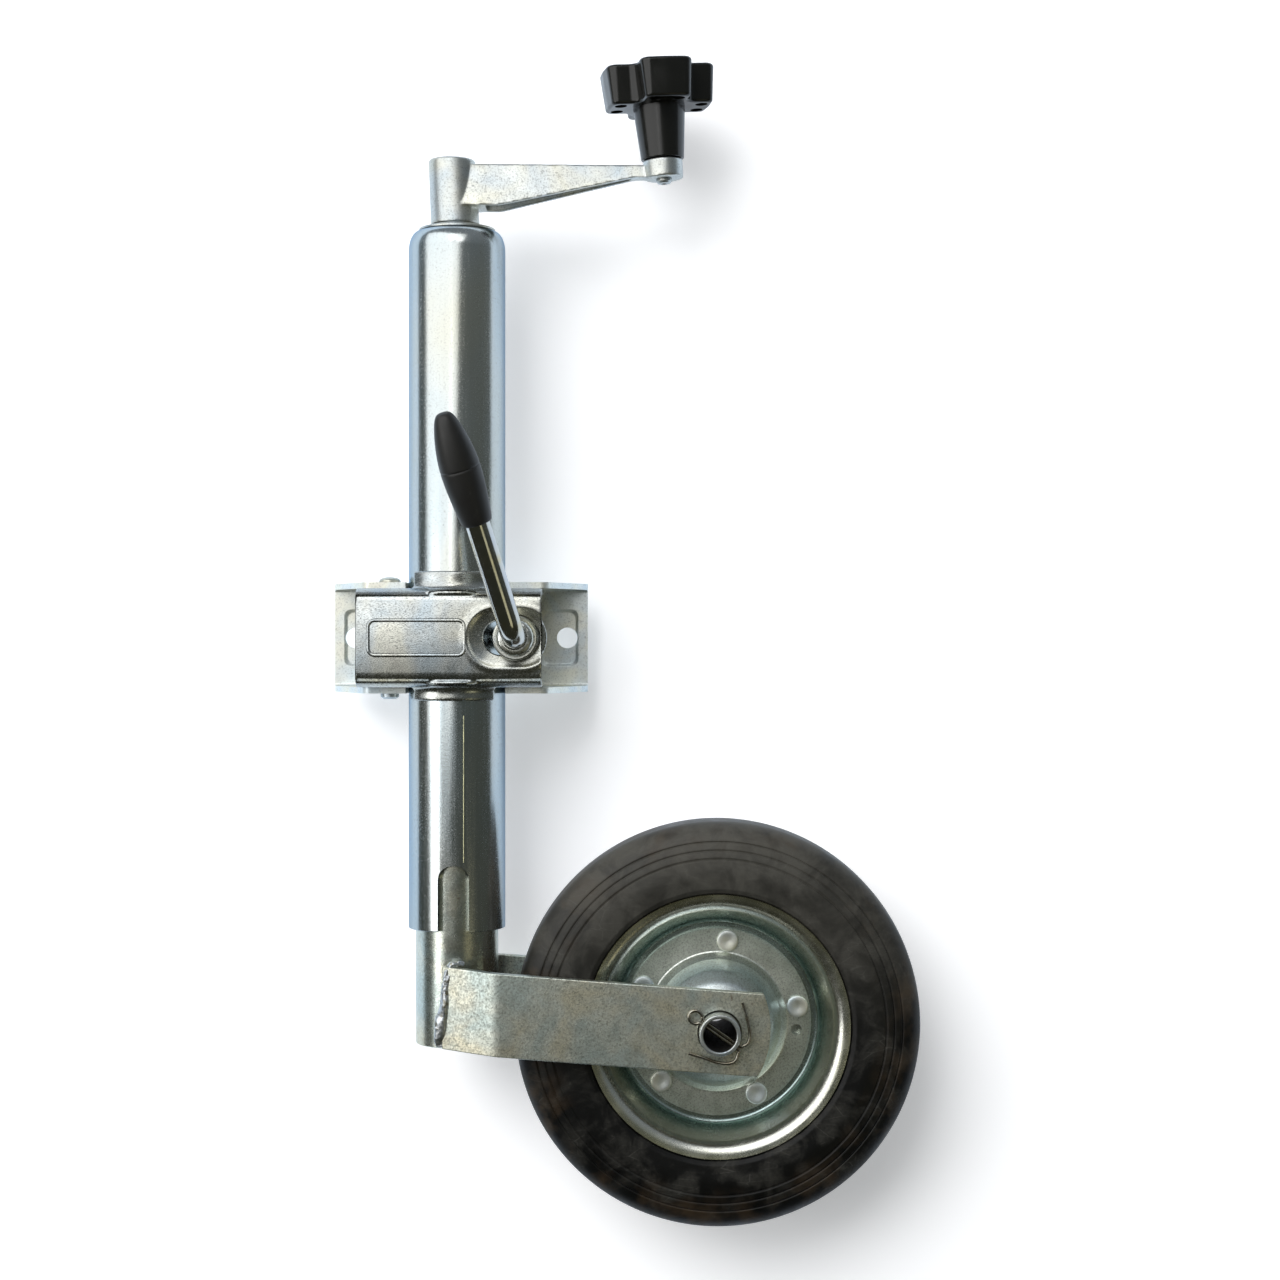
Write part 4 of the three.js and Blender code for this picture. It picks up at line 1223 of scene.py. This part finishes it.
def cotter_pin(side, name):
    """A split pin: half-round wire folded at its eye, with both legs bent back."""
    wire = 0.85
    gap = 0.92
    turn = Matrix.Rotation(-PIN_SLOPE, 2)
    upper = [(11.2, gap), (2, gap), (-7, gap), (-9.6, gap + 0.1)]
    eye = arc(-14.2, 0, 3.3, 3.1, 28, 332, 28)
    lower = [(x, -z) for x, z in upper[::-1]]
    shank = [tuple(turn @ Vector(p)) for p in upper + eye + lower]
    far_up = [(10.8, 15.3), (12.6, 9.5), (13.9, 4.2), (14.5, -1), (13.4, -4.4), (11.2, -5.6)]
    far_down = [(8.8, -9.3), (7.6, -12.4), (4.7, -14), (-1, -13.7), (-7.9, -11.3), (-15, -9.2)]
    route = smooth_curve(far_up + shank + far_down, 5)
    path = [(WHEEL.x + x, AXIS.y + side * PIN_AT, WHEEL.z + z) for x, z in route]
    body = sweep(f"cotter_pin_{name}_piece", path, wire, 14)
    finished(body, "wire", "fork", "zinc_bright", f"cotter_pin_{name}", weighted=False)


def axle_washer(name):
    place = NodeBox(f"axle_washer_{name}")
    low, high = place.low.y, place.high.y
    profile = rounded([(10.4, low), (15, low, 0.4), (15, high, 0.4), (10.4, high)], 3)
    body = lathe(f"axle_washer_{name}_piece", profile, HUB_LINE, "Y")
    finished(body, "stained", "fork", "stained_steel", f"axle_washer_{name}")


# ---- Wheel ----

TREAD_R = 100.45
GROOVES = (82.4, 86.4, 90.6)
RIVETS = 5
RIVET_AT = 40.5
RIVET_FIRST = 10.7
RIVET_HOLE = 3.3
RIVET_STEP = 360 / RIVETS
DRAIN_AT = 39.5
DRAIN_FIRST = -5.9
DRAIN_HOLE = 2.7


def tyre():
    tread = rounded([
        (65.3, 19.9), (65.5, 21.8, 0.8), (67.6, 23.1, 2), (76, 23.8, 30), (84, 22.8, 30),
        (92, 20.3, 25), (97.3, 17.3, 12), (99.9, 12.5, 10), (TREAD_R, 5, 10), (TREAD_R, 0),
    ], 6, False)
    fine = []
    for (r0, w0), (r1, w1) in zip(tread, tread[1:]):
        steps = max(1, int(math.hypot(r1 - r0, w1 - w0) / 0.35))
        fine += [(r0 + (r1 - r0) * k / steps, w0 + (w1 - w0) * k / steps) for k in range(steps)]
    side = []
    for r, w in fine:
        dip = sum(0.6 * math.exp(-((r - g) / 0.42) ** 2) for g in GROOVES)
        side.append((r - 0.3 * dip, w - dip))
    side.append((TREAD_R, 0))
    seat = [(65.3, 19.9), (60.6, 18.2), (58.55, 14), (55.75, 4.5), (54.5, 1.6)]
    middle = WHEEL.y
    profile = [(r, middle + w) for r, w in side] + [(r, middle - w) for r, w in side[-2::-1]]
    profile += [(r, middle - w) for r, w in seat[1:]] + [(r, middle + w) for r, w in seat[:0:-1]]
    body = lathe("tyre_piece", profile, HUB_LINE, "Y", 192)
    finished(body, "rubber", "wheel", "tyre_rubber", "tyre", weighted=False)


def rim_half(side, name):
    well = [(36.5, 1.05), (51.2, 1.05, 4)]
    lip = [(58.4, 18.5, 8), (62, 20.35, 5), (64.9, 20.75)]
    mid_line = rounded(well + lip, 8, False)
    outline = [(r, WHEEL.y + side * w) for r, w in sheet_outline(mid_line, 1.8)]
    body = lathe(f"rim_half_{name}_piece", outline, HUB_LINE, "Y", 160)
    cut(body, *rivet_cutters(side))
    finished(body, "rim", "wheel", "zinc_bright", f"rim_half_{name}")


def hub_disc(side, name):
    flange = [(46.6, 3.25), (34.2, 3.25, 2.5)]
    dome = [(30.6, 7, 3), (26.5, 15.5, 8), (21.5, 22, 8), (14.1, 26.6)]
    mid_line = rounded(flange + dome, 8, False)
    outline = [(r, WHEEL.y + side * w) for r, w in sheet_outline(mid_line, 2)]
    body = lathe(f"hub_disc_{name}_piece", outline, HUB_LINE, "Y", 160)
    cut(body, *rivet_cutters(side))
    soften(body, 0.25, 2, 50)
    finished(body, "disc", "wheel", "zinc_bright", f"hub_disc_{name}")


def on_disc(r, angle):
    """The place at a radius and angle on the wheel's face."""
    angle = math.radians(angle)
    return WHEEL.x + r * math.cos(angle), WHEEL.z + r * math.sin(angle)


def rivet_place(i):
    return on_disc(RIVET_AT, RIVET_FIRST + RIVET_STEP * i)


def rivet_cutters(side):
    """Cutters for the rivet holes and drain hole. The rear disc sits one rivet further round."""
    holes = [circle(*rivet_place(i), RIVET_HOLE, 32) for i in range(RIVETS)]
    drain = on_disc(DRAIN_AT, DRAIN_FIRST + (RIVET_STEP if side > 0 else 0))
    holes.append(circle(*drain, DRAIN_HOLE, 32))
    low, high = sorted((WHEEL.y - side, WHEEL.y + side * 8))
    return [prism("hole", outline, low, high, "Y") for outline in holes]


def rivet(i):
    x, z = rivet_place(i)
    face = 4.5
    spread = random.Random(i)
    head = [(3, face), (5.2, face), (5.3, face + 0.9)]
    head += arc(4.7, face + 0.9, 0.6, 0.6, 20, 80, 4)
    head += [(3.2, face + 1.5), (1.6, face + 1.2), (0, face + 1.1)]
    both = [(r, -w) for r, w in head[::-1]] + head
    profile = [(r, WHEEL.y + w) for r, w in both]
    tilt = spread.uniform(0, 6)
    node = f"rim_rivet_{i + 1}"

    def dents(angle, _):
        return 0.12 * noise.noise(Vector((math.cos(angle) * 1.5, math.sin(angle) * 1.5, tilt)))

    body = lathe(f"{node}_piece", profile, Vector((x, 0, z)), "Y", 40, dents)
    finished(body, "rivet", "wheel", "zinc_bright", node, weighted=False)


# ---- Everything ----


def hidden_nodes():
    """The inner pieces keep their CAD shape and get the steel's surface."""
    names = ["clamp_nut", "top_bush", "bearing_race_upper", "bearing_race_lower", "ball_cage"]
    names += ["spindle", "spindle_nut", "crank_pin", "hub_sleeve"]
    for name in names:
        mesh = frame["nodes"][name].data
        mesh.materials.clear()
        mesh.materials.append(MATERIALS["steel"])


def build():
    outer_tube()
    inner_tube()
    dust_cap()
    crank_arm()
    knob_pin()
    crank_knob()
    clamp_bracket()
    clamp_jaw()
    hinge_pin()
    lever_parts()
    lever_rod()
    lever_grip()
    for side, name in ((-1, "front"), (1, "rear")):
        fork_arm(side, name)
        weld_bead(side, name)
        cotter_pin(side, name)
        axle_washer(name)
        rim_half(side, name)
        hub_disc(side, name)
    axle()
    tyre()
    for i in range(RIVETS):
        rivet(i)
    hidden_nodes()


# ---- Studio ----

CAMERA_OFFSET = Vector((0.0084, 0, 0.0018))
CAMERA_REACH = 1.150
HALF_VIEW = 0.2774
BACKDROP_GAP = 0.0015


def camera():
    data = bpy.data.cameras.new("camera")
    data.sensor_width = 36
    data.lens = 18 / HALF_VIEW
    data.clip_start = 0.05
    data.clip_end = 20
    obj = bpy.data.objects.new("camera", data)
    centre = (cad_box[0] + cad_box[1]) / 2 + CAMERA_OFFSET
    obj.location = (centre.x, AXIS.y * MM - CAMERA_REACH, centre.z)
    obj.rotation_euler = (math.pi / 2, 0, 0)
    bpy.context.scene.collection.objects.link(obj)
    bpy.context.scene.camera = obj


def backdrop():
    """The white surface the jack lies on, seen only from its front, and painted pale blue where it
    shows in reflections.
    """
    size = 1.6
    y = cad_box[1].y + BACKDROP_GAP
    centre = (cad_box[0] + cad_box[1]) / 2
    left = -0.45
    corners = [(left, -size), (size, -size), (size, size), (left, size)]
    mesh = bpy.data.meshes.new("backdrop")
    mesh.from_pydata([(centre.x + u, y, centre.z + v) for u, v in corners], [], [[0, 1, 2, 3]])
    shader = Shader("backdrop_paper", Roughness=0.9)
    colour = shader.blend(shader.noise(60, 2, 0.5), (0.86, 0.865, 0.88, 1), (0.88, 0.88, 0.89, 1))
    # Seen in reflections the paper is pale blue: a painted reflection colour on the metal's edges.
    painted_reflection_mask = shader.node("ShaderNodeLightPath").outputs["Is Glossy Ray"]
    colour = shader.blend(painted_reflection_mask, colour, (0.5, 0.61, 0.73, 1))
    shader.surface.inputs["Emission Color"].default_value = (0.96, 0.97, 1, 1)
    shader.surface.inputs["Emission Strength"].default_value = 0.37
    material = shader.finish(colour)
    clear = shader.node("ShaderNodeBsdfTransparent")
    behind = shader.node("ShaderNodeNewGeometry").outputs["Backfacing"]
    paper = shader.surface.outputs["BSDF"]
    shader.split("Material Output", behind, paper, clear.outputs["BSDF"])
    mesh.materials.append(material)
    obj = bpy.data.objects.new("backdrop", mesh)
    bpy.context.scene.collection.objects.link(obj)


def aim(obj, azimuth, elevation, distance, roll=0):
    """Places a lamp facing the object. Azimuth 0 is in front of it, positive to the right."""
    a, e = math.radians(azimuth), math.radians(elevation)
    away = Vector((math.sin(a) * math.cos(e), -math.cos(a) * math.cos(e), math.sin(e)))
    obj.location = (cad_box[0] + cad_box[1]) / 2 + away * distance
    rolled = Matrix.Rotation(math.radians(roll), 3, "Z")
    obj.rotation_euler = (away.to_track_quat("Z", "Y").to_matrix() @ rolled).to_euler()
    bpy.context.scene.collection.objects.link(obj)


def softbox(name, azimuth, elevation, size, radiance, roll=0, colour=(1, 1, 1)):
    data = bpy.data.lights.new(name, "AREA")
    data.color = colour
    data.shape = "RECTANGLE"
    data.size, data.size_y = size
    data.energy = radiance * math.pi * size[0] * size[1]
    aim(bpy.data.objects.new(name, data), azimuth, elevation, 1.25, roll)


def room_light(name, azimuth, elevation, strength, spread):
    """Broad light from the room, too diffuse to show as a shape in the metal."""
    data = bpy.data.lights.new(name, "SUN")
    data.energy = strength
    data.angle = math.radians(spread)
    obj = bpy.data.objects.new(name, data)
    obj.visible_glossy = False
    aim(obj, azimuth, elevation, 2)


def world():
    """A dim room, darker low down, that shows as pale paper to the camera."""
    made = bpy.data.worlds.new("world")
    made.use_nodes = True
    nodes = Nodes(made.node_tree)
    place = nodes.node("ShaderNodeTexCoord").outputs["Generated"]
    height = nodes.node("ShaderNodeSeparateXYZ", {"Vector": place}).outputs["Z"]
    stops = (
        (0.3, (0.03, 0.031, 0.022)),
        (0.5, (0.075, 0.082, 0.072)),
        (0.6, (0.15, 0.17, 0.18)),
        (0.9, (0.22, 0.24, 0.26)),
    )
    light = nodes.tree.nodes["Background"]
    nodes.feed(light.inputs["Color"], nodes.ramp(nodes.remap(height, -1, 1), *stops))
    seen = nodes.node("ShaderNodeBackground", {"Color": (0.93, 0.93, 0.94, 1)})
    ray = nodes.node("ShaderNodeLightPath").outputs["Is Camera Ray"]
    nodes.split("World Output", ray, light.outputs["Background"], seen.outputs["Background"])
    bpy.context.scene.world = made


def studio():
    camera()
    backdrop()
    softbox("key", -42.5, 24, (1.56, 1.4), 1.5)
    softbox("edge", -3, 17, (0.26, 0.96), 1.45, -34)
    softbox("top", 0, 40, (0.7, 0.5), 1.4)
    softbox("low", -52, -9, (0.48, 0.45), 2.7)
    softbox("floor", 33, -26, (0.4, 0.4), 0.6, 0, (1, 0.93, 0.6))
    room_light("room", -30, 35, 2.0, 40)
    world()
    bpy.context.scene.view_settings.view_transform = "Standard"


build()
studio()
